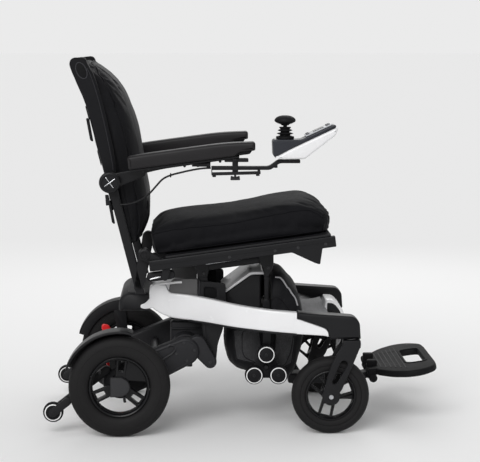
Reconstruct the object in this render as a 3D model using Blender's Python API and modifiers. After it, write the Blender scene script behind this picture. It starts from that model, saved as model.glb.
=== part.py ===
# Folding power wheelchair: seat and back on a white railed frame with two drive wheels and two casters.
# Metres, +X forward, +Y to the chair's left, +Z up, origin on the floor under the middle of the chair.
import math

import bmesh
import bpy
from mathutils import Matrix, Vector

# Clearances and shared small sizes
GAP = 0.0003
RUNNING_GAP = 0.0004
UNION_STEP = 0.001
ROUND_STEPS = 16
WHEEL_STEPS = 28

# Drive wheels
REAR_RADIUS = 0.129
REAR_TYRE_WIDTH = 0.054
REAR_AXLE_X = -0.317
REAR_WHEEL_Y = 0.264
REAR_RIM_RADIUS = 0.077
REAR_HUB_RADIUS = 0.024
AXLE_RADIUS = 0.010

# Casters
CASTER_RADIUS = 0.0995
CASTER_TYRE_WIDTH = 0.040
CASTER_Y = 0.246
STEM_X = 0.272
CASTER_TRAIL = 0.052
CASTER_RIM_RADIUS = 0.060
CASTER_HUB_RADIUS = 0.021
CASTER_AXLE_RADIUS = 0.006
FORK_WALL = 0.008
FORK_SIDE_GAP = 0.004
STEM_RADIUS = 0.008
STEM_LENGTH = 0.034

# Side rails and front caps
RAIL_WALL = 0.030
RAIL_OUTER_REAR = 0.150
RAIL_OUTER_FRONT = 0.270
RAIL_REAR_X = -0.241
CAP_REAR_X = 0.133
CAP_FRONT_X = 0.296
CAP_TOP_Z = 0.315
CAP_BOTTOM_Z = 0.245
CAP_WIDTH = 0.048

# Seat
SEAT_PITCH = math.radians(7.5)
SEAT_REAR_X = -0.239
SEAT_REAR_Z = 0.415
SEAT_RAIL_LENGTH = 0.479
SEAT_RAIL_HEIGHT = 0.028
SEAT_RAIL_WIDTH = 0.020
SEAT_RAIL_INNER_Y = 0.2055
SEAT_BASE_WALL = 0.006
SEAT_CUSHION_WIDTH = 0.404
SEAT_CUSHION_LENGTH = 0.462
SEAT_CUSHION_START = 0.008
SEAT_CROWN = 0.018
LATCH_X = -0.201
LATCH_Z = 0.399
LATCH_PIN_RADIUS = 0.005
LEVER_WALL = 0.016

# Back
BACK_HINGE_X = -0.253
BACK_HINGE_Z = 0.456
BACK_POST_Y = 0.190
BACK_POST_WIDTH = 0.024
BACK_LEAN = 0.254
BACK_FOOT_X = -0.268
BACK_FOOT_Z = 0.370
BACK_TOP_Z = 0.945
BACK_POST_DEPTH = 0.024
BACK_SLEEVE_DEPTH = 0.046
BACK_CUSHION_WIDTH = 0.350
BACK_CUSHION_LOW_Z = 0.492
BACK_CUSHION_RISE = 0.008
BACK_PAD_GAP = 0.0026
BACK_SLEEVE_LENGTH = 0.085
BACK_BAR_RADIUS = 0.008
HINGE_PIN_RADIUS = 0.006

# Armrests
ARM_PIVOT_X = -0.339
ARM_PIVOT_Z = 0.643
ARM_KNOB_RADIUS = 0.027
ARM_KNOB_WIDTH = 0.020
ARM_STEM_RADIUS = 0.009
ARM_WALL = 0.010
ARM_FLANGE_WALL = 0.005
PAD_Y = 0.250
PAD_WIDTH = 0.050
PAD_HEIGHT = 0.034
PAD_REAR_X = -0.293
PAD_FRONT_X = 0.027
PAD_REAR_Z = 0.679
PAD_FRONT_Z = 0.713
PAD_SLOPE = 0.128
PAD_RECESS_LENGTH = 0.050

# Drive units and folding rear frame
FOLD_PIVOT_X = -0.086
FOLD_PIVOT_Z = 0.176
FOLD_PIN_RADIUS = 0.006
MOTOR_X = -0.150
MOTOR_Z = 0.205
MOTOR_RADIUS = 0.038
MOTOR_INNER_Y = 0.060
MOTOR_COVER_INNER_Y = 0.066
MOTOR_COVER_OUTER_Y = 0.112
GEARBOX_INNER_Y = 0.165
GEARBOX_OUTER_Y = 0.2112
GEARBOX_RADIUS = 0.046
LEVER_X = -0.338
LEVER_Z = 0.150
SUPPORT_INNER_Y = 0.120
SUPPORT_WALL = 0.016
SUPPORT_REAR_X = -0.110
CROSS_BAR_RADIUS = 0.009
FENDER_RADIUS = 0.145
FENDER_WALL = 0.005
ANTI_TIP_X = -0.487
ANTI_TIP_Z = 0.058
ANTI_TIP_RADIUS = 0.026
ANTI_TIP_WALL = 0.018
ANTI_TIP_PIN_RADIUS = 0.004
DRIVE_TUBE_X = -0.235
DRIVE_TUBE_Z = 0.165
DRIVE_TUBE_RADIUS = 0.011
ANTI_TIP_WHEEL_WIDTH = 0.020

# Transport rollers
CLUSTER_X = 0.058
CLUSTER_Z = 0.162
CLUSTER_ARM = 0.036
ROLLER_RADIUS = 0.024
ROLLER_WIDTH = 0.026
CLUSTER_INNER_Y = 0.186
CROSS_TUBE_RADIUS = 0.012
MID_TUBE_X = 0.062
MID_TUBE_Z = 0.285
FRONT_TUBE_X = 0.235
FRONT_TUBE_Z = 0.270
FRONT_TUBE_RADIUS = 0.014
ROLLER_PIN_RADIUS = 0.005
DROP_WALL = 0.0157

# Power pack and bag under the seat
BATTERY_REAR_X = -0.045
BATTERY_LOW_Z = 0.262
BATTERY_STEP_Z = 0.342
BATTERY_TOP_Z = 0.392
BATTERY_FLAT = 0.0257
BATTERY_WIDTH = 0.220
LID_LIFT = 0.0006
LID_WALL = 0.008
LID_OVERHANG = 0.006
BAG_REAR_X = -0.046
BAG_LOW_Z = 0.113
BAG_LENGTH = 0.203
BAG_HEIGHT = 0.284
BAG_WIDTH = 0.300
BAG_GAP = 0.0008
CONTROL_REAR_X = -0.323
CONTROL_LOW_Z = 0.301
CONTROL_HEIGHT = 0.048
CONTROL_WIDTH = 0.296

# Footrest
BEAM_REAR_X = 0.125
BEAM_FRONT_X = 0.328
BEAM_TOP_Z = 0.110
BEAM_HEIGHT = 0.028
BEAM_WIDTH = 0.060
HANGER_WIDTH = 0.110
HANGER_WALL = 0.018
HANGER_BEND_X = 0.281
HANGER_BEND_Z = 0.225
FOOT_PIVOT_X = 0.348
FOOT_PIVOT_Z = 0.105
FOOT_PLATE_REAR_X = 0.358
FOOT_PLATE_FRONT_X = 0.5148
FOOT_PLATE_WALL = 0.018
FOOT_PLATE_HALF = 0.188
FOOT_PLATE_REAR_HALF = 0.108
FOOT_EAR_WALL = 0.0147
FOOT_WING_GAP = 0.003
FOOT_WING_LENGTH = 0.024
FOOT_BARREL_RADIUS = 0.011
FOOT_PIN_RADIUS = 0.005
FOOT_TONGUE_WIDTH = 0.040
FOOT_STOP_HEIGHT = 0.028
FOOT_TILT = math.radians(8.0)

# Controller on the right armrest
CONTROLLER_Y = -0.250
CONTROLLER_WIDTH = 0.068
BAR_WIDTH = 0.020
BAR_HEIGHT = 0.010
BAR_BOTTOM_Z = 0.676
BAR_REAR_X = -0.083
WING_BOLT_RADIUS = 0.003
CONTROLLER_REAR_X = 0.072
CONTROLLER_LOW_Z = 0.703
STICK_X = 0.102
BOOT_RADIUS = 0.023
STICK_KNOB_RADIUS = 0.027
CABLE_RADIUS = 0.0025

PARTS = "folding_power_wheelchair"
COLOURS = {
    "white": ((0.83, 0.83, 0.84), 0.35, 0.0),
    "black": ((0.025, 0.025, 0.028), 0.5, 0.0),
    "dark_metal": ((0.04, 0.04, 0.045), 0.4, 0.3),
    "grey": ((0.18, 0.18, 0.19), 0.5, 0.0),
    "tyre": ((0.035, 0.035, 0.037), 0.85, 0.0),
    "fabric": ((0.02, 0.02, 0.023), 0.9, 0.0),
    "red": ((0.65, 0.05, 0.05), 0.45, 0.0),
    "steel": ((0.6, 0.6, 0.62), 0.3, 1.0),
}


def clear_scene():
    for item in list(bpy.data.objects):
        bpy.data.objects.remove(item, do_unlink=True)


def collection(name):
    found = bpy.data.collections.get(name)
    if found is None:
        found = bpy.data.collections.new(name)
        bpy.context.scene.collection.children.link(found)
    return found


def dress(item, finish):
    colour, rough, metal = COLOURS[finish]
    material = bpy.data.materials.new(item.name + "_finish")
    material.use_nodes = True
    shader = material.node_tree.nodes["Principled BSDF"]
    shader.inputs["Base Color"].default_value = (*colour, 1.0)
    shader.inputs["Roughness"].default_value = rough
    shader.inputs["Metallic"].default_value = metal
    item.data.materials.clear()
    item.data.materials.append(material)


def set_origin(item, place):
    """Puts the origin of a finished mesh on its joint's axis."""
    item.data.transform(Matrix.Translation(-Vector(place)))
    item.location = Vector(place)
    return item


def keep_as_part(item, finish, axis=None):
    """Names the piece a part; axis is a point of the joint that it turns or slides on."""
    for owner in list(item.users_collection):
        owner.objects.unlink(item)
    collection(PARTS).objects.link(item)
    dress(item, finish)
    if axis is not None:
        set_origin(item, axis)
    return item


def keep_as_cutter(item):
    for owner in list(item.users_collection):
        owner.objects.unlink(item)
    collection("cutters").objects.link(item)
    item.hide_render = True
    item.display_type = "WIRE"
    return item


def mesh_object(name, shape):
    mesh = bpy.data.meshes.new(name)
    bmesh.ops.recalc_face_normals(shape, faces=shape.faces)
    shape.to_mesh(mesh)
    shape.free()
    item = bpy.data.objects.new(name, mesh)
    bpy.context.scene.collection.objects.link(item)
    return item


def box(name, low, high):
    shape = bmesh.new()
    bmesh.ops.create_cube(shape, size=1.0)
    low, high = Vector(low), Vector(high)
    size = high - low
    bmesh.ops.scale(shape, vec=size, verts=shape.verts)
    bmesh.ops.translate(shape, vec=(low + high) / 2, verts=shape.verts)
    return mesh_object(name, shape)


def cylinder(name, centre, radius, length, axis="Y", steps=ROUND_STEPS, far_radius=None):
    shape = bmesh.new()
    last = radius if far_radius is None else far_radius
    bmesh.ops.create_cone(shape, cap_ends=True, segments=steps, radius1=radius, radius2=last, depth=length)
    turn = {"X": Matrix.Rotation(math.pi / 2, 3, "Y"), "Y": Matrix.Rotation(-math.pi / 2, 3, "X"),
            "Z": Matrix.Identity(3)}[axis]
    bmesh.ops.rotate(shape, cent=(0, 0, 0), matrix=turn, verts=shape.verts)
    bmesh.ops.translate(shape, vec=Vector(centre), verts=shape.verts)
    return mesh_object(name, shape)


def curve_to_mesh(item):
    bpy.context.view_layer.update()
    evaluated = item.evaluated_get(bpy.context.evaluated_depsgraph_get())
    mesh = bpy.data.meshes.new_from_object(evaluated)
    shape = bmesh.new()
    shape.from_mesh(mesh)
    bmesh.ops.remove_doubles(shape, verts=shape.verts, dist=0.00001)
    bmesh.ops.recalc_face_normals(shape, faces=shape.faces)
    shape.to_mesh(mesh)
    shape.free()
    name = item.name
    result = bpy.data.objects.new(name + "_solid", mesh)
    result.matrix_world = item.matrix_world.copy()
    bpy.context.scene.collection.objects.link(result)
    bpy.data.objects.remove(item, do_unlink=True)
    result.name = name
    mesh.transform(result.matrix_world)
    result.matrix_world = Matrix.Identity(4)
    return result


def add_loop(curve, points):
    loop = curve.splines.new("POLY")
    loop.points.add(len(points) - 1)
    for place, (u, v) in zip(loop.points, points):
        place.co = (u, v, 0.0, 1.0)
    loop.use_cyclic_u = True


def outline(name, loops, middle, wall, plane="XZ"):
    """A flat outline with holes, in the XZ, XY or YZ plane, centred at middle along the third axis."""
    curve = bpy.data.curves.new(name, "CURVE")
    curve.dimensions = "2D"
    curve.fill_mode = "BOTH"
    curve.extrude = wall / 2
    for points in loops:
        add_loop(curve, points)
    item = bpy.data.objects.new(name, curve)
    bpy.context.scene.collection.objects.link(item)
    if plane == "XZ":
        item.matrix_world = Matrix.Translation((0, middle, 0)) @ Matrix.Rotation(math.pi / 2, 4, "X")
    elif plane == "YZ":
        turn = Matrix(((0, 0, 1, 0), (1, 0, 0, 0), (0, 1, 0, 0), (0, 0, 0, 1)))
        item.matrix_world = Matrix.Translation((middle, 0, 0)) @ turn
    else:
        item.matrix_world = Matrix.Translation((0, 0, middle))
    return curve_to_mesh(item)


def tube(name, points, radius, resolution=3):
    curve = bpy.data.curves.new(name, "CURVE")
    curve.dimensions = "3D"
    curve.bevel_depth = radius
    curve.bevel_resolution = resolution
    curve.use_fill_caps = True
    line = curve.splines.new("POLY")
    line.points.add(len(points) - 1)
    for place, co in zip(line.points, points):
        place.co = (*co, 1.0)
    item = bpy.data.objects.new(name, curve)
    bpy.context.scene.collection.objects.link(item)
    return curve_to_mesh(item)


def ring_points(x, z, radius, steps=ROUND_STEPS, start=0.0, end=2 * math.pi):
    closed = abs(end - start - 2 * math.pi) < 1e-6
    count = steps if closed else steps + 1
    share = (end - start) / steps
    return [(x + radius * math.cos(start + share * k), z + radius * math.sin(start + share * k))
            for k in range(count)]


def stadium(first, second, radius_a, radius_b, steps=6):
    """The outline round two circles, as a strap or gearbox has."""
    (ax, az), (bx, bz) = first, second
    heading = math.atan2(bz - az, bx - ax)
    half = math.pi / 2
    return (ring_points(ax, az, radius_a, steps, heading + half, heading + 3 * half)
            + ring_points(bx, bz, radius_b, steps, heading - half, heading + half))


def turned(name, profile, x, y, z, steps=WHEEL_STEPS, closed=False):
    """A shape turned about an axis along Y: the profile gives radius and distance along Y."""
    mesh = bpy.data.meshes.new(name)
    count = len(profile)
    edges = [(k, k + 1) for k in range(count - 1)]
    if closed:
        edges.append((count - 1, 0))
    mesh.from_pydata([(radius, 0.0, along) for radius, along in profile], edges, [])
    item = bpy.data.objects.new(name, mesh)
    bpy.context.scene.collection.objects.link(item)
    screw = item.modifiers.new("turn", "SCREW")
    screw.angle = 2 * math.pi
    screw.steps = steps
    screw.render_steps = steps
    screw.use_merge_vertices = True
    screw.merge_threshold = 0.00005
    item.location = (x, y, z)
    item.rotation_euler = (-math.pi / 2, 0, 0)
    return item


def to_plain(item):
    bpy.context.view_layer.update()
    evaluated = item.evaluated_get(bpy.context.evaluated_depsgraph_get())
    mesh = bpy.data.meshes.new_from_object(evaluated)
    mesh.transform(item.matrix_world)
    shape = bmesh.new()
    shape.from_mesh(mesh)
    bmesh.ops.remove_doubles(shape, verts=shape.verts, dist=0.00001)
    bmesh.ops.recalc_face_normals(shape, faces=shape.faces)
    shape.to_mesh(mesh)
    shape.free()
    item.modifiers.clear()
    item.data = mesh
    item.matrix_world = Matrix.Identity(4)
    return item


def boolean(base, other, kind):
    change = base.modifiers.new(kind.lower(), "BOOLEAN")
    change.operation = kind
    change.object = keep_as_cutter(other)
    return base


def add(base, *others):
    for other in others:
        boolean(base, other, "UNION")
    return base


def cut(base, *others):
    for other in others:
        boolean(base, other, "DIFFERENCE")
    return base


def round_edges(item, width, segments=2):
    bevel = item.modifiers.new("edges", "BEVEL")
    bevel.width = width
    bevel.segments = segments
    bevel.limit_method = "ANGLE"
    bevel.angle_limit = math.radians(40)
    return item


def smooth(item):
    item.data.shade_smooth()
    item.data.set_sharp_from_angle(angle=math.radians(35))
    return item


SIDES = (("right", -1), ("left", 1))


def seat_point(along, up):
    """World X and Z of a point of the sloping seat, along the rail and up from its underside."""
    return (SEAT_REAR_X + along * math.cos(SEAT_PITCH) - up * math.sin(SEAT_PITCH),
            SEAT_REAR_Z + along * math.sin(SEAT_PITCH) + up * math.cos(SEAT_PITCH))


def post_x(z):
    return BACK_FOOT_X - (z - BACK_FOOT_Z) * BACK_LEAN


def sector(radius_in, radius_out, start, end, steps=4):
    outer = ring_points(0, 0, radius_out, steps, start, end)
    inner = ring_points(0, 0, radius_in, steps, start, end)
    return outer + inner[::-1]


def shifted(points, x, z):
    return [(u + x, v + z) for u, v in points]


def tyre(name, radius, rim_radius, width, x, y, z):
    half = width / 2
    inner = rim_radius + GAP
    depth = radius - inner
    shoulder = [(inner, 0.66), (inner + 0.40 * depth, 1.0), (inner + 0.80 * depth, 0.84), (radius, 0.30)]
    profile = [(r, share * half) for r, share in shoulder]
    profile += [(r, -share * half) for r, share in reversed(shoulder)]
    item = to_plain(turned(name, profile, x, y, z, closed=True))
    return keep_as_part(item, "tyre", (x, y, z))


def rim(name, radius, width, hub_radius, hub_low, hub_high, axle_radius, bore_low, bore_high,
        x, z, spoke_angles, spoke_half, slit_half, disc_y, disc_wall):
    """A barrel, a spoked disc and a hub with a bore; hub and bore limits are along Y."""
    wall = 0.006
    middle = disc_y
    barrel_profile = [(radius, -width / 2), (radius, width / 2), (radius - wall, width / 2),
                      (radius - wall, -width / 2)]
    barrel = to_plain(turned(name, barrel_profile, x, middle, z, closed=True))
    loops = [ring_points(x, z, radius - wall / 2, WHEEL_STEPS)]
    open_in = hub_radius + 0.003
    open_out = radius - wall - 0.002
    count = len(spoke_angles)
    for place, angle in enumerate(spoke_angles):
        following = spoke_angles[(place + 1) % count] + (2 * math.pi if place + 1 == count else 0)
        loops.append(shifted(sector(open_in, open_out, angle + spoke_half, following - spoke_half), x, z))
        slit = sector(open_in + 0.2 * (open_out - open_in), open_out - 0.003, angle - slit_half,
                      angle + slit_half, 1)
        loops.append(shifted(slit, x, z))
    disc = outline(name + "_disc", loops, middle, disc_wall)
    hub = cylinder(name + "_hub", (x, (hub_low + hub_high) / 2, z), hub_radius, abs(hub_high - hub_low))
    bore = cylinder(name + "_bore", (x, (bore_low + bore_high) / 2, z), axle_radius + RUNNING_GAP,
                    abs(bore_high - bore_low))
    add(barrel, disc, hub)
    cut(barrel, bore)
    return barrel


def rear_wheels():
    angles = [math.radians(a) for a in (84, 204, 323)]
    for word, side in SIDES:
        middle = side * REAR_WHEEL_Y
        tyre(f"rear_tyre_{word}", REAR_RADIUS, REAR_RIM_RADIUS, REAR_TYRE_WIDTH, REAR_AXLE_X, middle,
             REAR_RADIUS)
        item = rim(f"rear_rim_{word}", REAR_RIM_RADIUS, 0.040, REAR_HUB_RADIUS,
                   side * (GEARBOX_OUTER_Y + GAP), side * (REAR_WHEEL_Y + 0.021), AXLE_RADIUS,
                   side * (GEARBOX_OUTER_Y - 0.01), side * (REAR_WHEEL_Y + 0.004), REAR_AXLE_X, REAR_RADIUS,
                   angles, math.radians(19), math.radians(6), middle, 0.022)
        keep_as_part(item, "dark_metal", (REAR_AXLE_X, middle, REAR_RADIUS))


def casters():
    angles = [math.radians(a) for a in (20, 137, 251)]
    axle_x = STEM_X - CASTER_TRAIL
    leg_low = CASTER_TYRE_WIDTH / 2 + FORK_SIDE_GAP
    crown_top = CAP_BOTTOM_Z - GAP
    crown_low = crown_top - 0.022
    for word, side in SIDES:
        middle = side * CASTER_Y
        tyre(f"caster_tyre_{word}", CASTER_RADIUS, CASTER_RIM_RADIUS, CASTER_TYRE_WIDTH, axle_x, middle,
             CASTER_RADIUS)
        half_hub = leg_low - GAP
        item = rim(f"caster_rim_{word}", CASTER_RIM_RADIUS, 0.030, CASTER_HUB_RADIUS, middle - half_hub,
                   middle + half_hub, CASTER_AXLE_RADIUS, middle - 2 * half_hub, middle + 2 * half_hub,
                   axle_x, CASTER_RADIUS, angles, math.radians(15), math.radians(8), middle, 0.014)
        keep_as_part(item, "dark_metal", (axle_x, middle, CASTER_RADIUS))
        leg = [(STEM_X - 0.024, crown_top), (STEM_X + 0.024, crown_top), (STEM_X + 0.024, crown_low),
               (STEM_X - 0.006, 0.150), (axle_x + 0.020, CASTER_RADIUS),
               (axle_x + 0.012, CASTER_RADIUS - 0.016), (axle_x - 0.006, CASTER_RADIUS - 0.020), 
               (axle_x - 0.019, CASTER_RADIUS - 0.006), (axle_x - 0.018, CASTER_RADIUS + 0.014),
               (STEM_X - 0.050, 0.180), (STEM_X - 0.026, 0.222)]
        slot = stadium((axle_x + 0.010, 0.136), (axle_x + 0.033, 0.190), 0.0075, 0.0075, 4)
        near = outline(f"caster_fork_{word}", [leg, slot], middle - leg_low - FORK_WALL / 2, FORK_WALL)
        far = outline("fork_far_leg", [leg, slot], middle + leg_low + FORK_WALL / 2, FORK_WALL)
        reach = leg_low + FORK_WALL / 2
        crown = box("fork_crown", (STEM_X - 0.0215, middle - reach, crown_low),
                    (STEM_X + 0.0235, middle + reach, crown_top - UNION_STEP / 2))
        pin = cylinder("fork_axle", (axle_x, middle, CASTER_RADIUS), CASTER_AXLE_RADIUS, 2 * reach)
        stem_low = crown_low + 0.004
        stem_top = CAP_BOTTOM_Z + STEM_LENGTH
        stem = cylinder("fork_stem", (STEM_X, middle, (stem_low + stem_top) / 2), STEM_RADIUS,
                        stem_top - stem_low, "Z")
        add(near, far, crown, pin, stem)
        keep_as_part(near, "dark_metal", (STEM_X, middle, CAP_BOTTOM_Z))


RAIL_STATIONS = (
    (RAIL_REAR_X, 0.315, 0.350, RAIL_OUTER_REAR), (-0.226, 0.303, 0.370, RAIL_OUTER_REAR),
    (-0.200, 0.289, 0.370, RAIL_OUTER_REAR), (-0.188, 0.284, 0.346, RAIL_OUTER_REAR),
    (-0.119, 0.277, 0.341, 0.168), (-0.035, 0.272, 0.331, 0.225), (0.042, 0.268, 0.323, 0.262),
    (0.110, 0.262, 0.317, RAIL_OUTER_FRONT), (CAP_REAR_X - GAP, 0.260, 0.315, RAIL_OUTER_FRONT),
)
TONGUE = ((0.134, 0.2995, 0.260), (0.206, 0.2735, 0.255), (0.2125, 0.2540, 0.2525))


def rail_outer(x):
    for first, second in zip(RAIL_STATIONS, RAIL_STATIONS[1:]):
        if x <= second[0]:
            share = (x - first[0]) / (second[0] - first[0])
            return first[3] + share * (second[3] - first[3])
    return RAIL_OUTER_FRONT


def loft(name, sections):
    """A closed body through a row of rectangular sections, each a list of four corners."""
    shape = bmesh.new()
    rows = [[shape.verts.new(corner) for corner in section] for section in sections]
    for first, second in zip(rows, rows[1:]):
        for k in range(4):
            shape.faces.new((first[k], first[(k + 1) % 4], second[(k + 1) % 4], second[k]))
    shape.faces.new(rows[0])
    shape.faces.new(rows[-1][::-1])
    return mesh_object(name, shape)


def side_rails():
    for word, side in SIDES:
        sections = []
        for x, low, high, outer in RAIL_STATIONS:
            inner = outer - RAIL_WALL
            sections.append([(x, side * outer, low), (x, side * outer, high), (x, side * inner, high),
                             (x, side * inner, low)])
        for x, high, low in TONGUE:
            outer, inner = RAIL_OUTER_FRONT, RAIL_OUTER_FRONT - RAIL_WALL
            sections.append([(x, side * outer, low), (x, side * outer, high), (x, side * inner, high),
                             (x, side * inner, low)])
        rail = loft(f"side_rail_{word}", sections)
        round_edges(rail, 0.004, 1)
        keep_as_part(rail, "white")
        shape = [(CAP_REAR_X, CAP_TOP_Z), (0.282, 0.304), (0.293, 0.291), (CAP_FRONT_X, CAP_BOTTOM_Z),
                 (0.2165, CAP_BOTTOM_Z), (0.2068, 0.2745), (CAP_REAR_X + 0.0012, 0.3008)]
        cap = outline(f"rail_cap_{word}", [shape], side * (RAIL_OUTER_FRONT + 0.0005 - CAP_WIDTH / 2),
                      CAP_WIDTH)
        seat = cylinder("stem_hole", (STEM_X, side * CASTER_Y, CAP_BOTTOM_Z + STEM_LENGTH / 2),
                        STEM_RADIUS + RUNNING_GAP, STEM_LENGTH + 0.002, "Z")
        cut(cap, seat)
        keep_as_part(cap, "black")


def frame_tubes():
    reach = RAIL_OUTER_FRONT + 0.0005 - CAP_WIDTH - GAP
    front = cylinder("front_cross_tube", (FRONT_TUBE_X, 0, FRONT_TUBE_Z), FRONT_TUBE_RADIUS, 2 * reach)
    keep_as_part(front, "dark_metal")
    mid_reach = rail_outer(MID_TUBE_X - CROSS_TUBE_RADIUS) - RAIL_WALL - GAP
    mid = cylinder("mid_cross_frame", (MID_TUBE_X, 0, MID_TUBE_Z), CROSS_TUBE_RADIUS, 2 * mid_reach)
    drop_outer = CLUSTER_INNER_Y - GAP
    for side in (-1, 1):
        strap = stadium((MID_TUBE_X, MID_TUBE_Z), (CLUSTER_X, CLUSTER_Z), 0.010, 0.010)
        drop = outline("roller_drop", [strap], side * (drop_outer - DROP_WALL / 2), DROP_WALL)
        pin_y = side * (drop_outer + 0.006)
        pin = cylinder("roller_pin", (CLUSTER_X, pin_y, CLUSTER_Z), ROLLER_PIN_RADIUS, 0.020)
        add(mid, drop, pin)
    keep_as_part(mid, "dark_metal")


def transport_rollers():
    for word, side in SIDES:
        hull = []
        for k in range(3):
            angle = math.pi / 2 + k * 2 * math.pi / 3
            centre = (CLUSTER_X + CLUSTER_ARM * math.cos(angle), CLUSTER_Z + CLUSTER_ARM * math.sin(angle))
            hull += ring_points(*centre, ROLLER_RADIUS / 2, 4, angle - math.pi / 3, angle + math.pi / 3)
        plate_wall = 0.008
        plate = outline(f"transport_rollers_{word}", [hull], side * (CLUSTER_INNER_Y + plate_wall / 2),
                        plate_wall)
        for k in range(3):
            angle = math.pi / 2 + k * 2 * math.pi / 3
            place = (CLUSTER_X + CLUSTER_ARM * math.cos(angle),
                     side * (CLUSTER_INNER_Y + plate_wall + ROLLER_WIDTH / 2 - 0.001),
                     CLUSTER_Z + CLUSTER_ARM * math.sin(angle))
            add(plate, cylinder("roller", place, ROLLER_RADIUS, ROLLER_WIDTH, steps=20))
        bore = cylinder("roller_bore", (CLUSTER_X, side * CLUSTER_INNER_Y, CLUSTER_Z),
                        ROLLER_PIN_RADIUS + RUNNING_GAP, 0.05, steps=20)
        cut(plate, bore)
        keep_as_part(plate, "black", (CLUSTER_X, side * CLUSTER_INNER_Y, CLUSTER_Z))


# Side of the storage bag as shares of its length and height, from its rear end to the tube in front
BAG_SHAPE = ((0.0, 0.324), (0.039, 0.137), (0.207, 0.085), (0.680, 0.0), (0.828, 0.014), (0.946, 0.236),
             (1.0, 0.553), (0.961, 0.789), (0.847, 0.912), (0.739, 1.0), (0.621, 1.0))


def power_pieces():
    rear, top = BATTERY_REAR_X, BATTERY_TOP_Z
    front = MID_TUBE_X - CROSS_TUBE_RADIUS - GAP
    bend = front - BATTERY_FLAT
    slope = [(bend, top - 0.002), (bend - 0.014, top - 0.012), (rear, BATTERY_STEP_Z)]
    case = outline("battery_case", [[(rear, BATTERY_LOW_Z), (front, BATTERY_LOW_Z), (front, top)] + slope], 0,
                   BATTERY_WIDTH)
    keep_as_part(round_edges(case, 0.004, 1), "black")
    lid = [(rear - LID_OVERHANG, BATTERY_STEP_Z - 0.002)] + slope[::-1] + [(front, top)]
    lid = [(x, z + LID_LIFT) for x, z in lid]
    lid += [(front, top + LID_WALL), (bend + 0.002, top + LID_WALL - 0.001), (bend - 0.014, top - 0.005),
            (rear - LID_OVERHANG, BATTERY_STEP_Z + 0.004)]
    keep_as_part(outline("battery_lid", [lid], 0, BATTERY_WIDTH + 2 * LID_OVERHANG), "white")
    under, low = BATTERY_LOW_Z - BAG_GAP, BAG_LOW_Z
    tube_front = MID_TUBE_X + CROSS_TUBE_RADIUS + GAP + UNION_STEP / 5
    bag = [(BAG_REAR_X + 0.003, under)]
    bag += [(BAG_REAR_X + u * BAG_LENGTH, low + v * BAG_HEIGHT) for u, v in BAG_SHAPE]
    bag += [(tube_front, low + BAG_HEIGHT - 0.012), (tube_front, under)]
    keep_as_part(round_edges(outline("storage_bag", [bag], 0, BAG_WIDTH), 0.010, 2), "fabric")
    high, reach = CONTROL_LOW_Z + CONTROL_HEIGHT, RAIL_REAR_X - GAP
    unit = [(CONTROL_REAR_X, CONTROL_LOW_Z), (reach, CONTROL_LOW_Z), (reach, high),
            (CONTROL_REAR_X + 0.018, high), (CONTROL_REAR_X, high - 0.018)]
    keep_as_part(round_edges(outline("control_box", [unit], 0, CONTROL_WIDTH), 0.006), "black")


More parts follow.
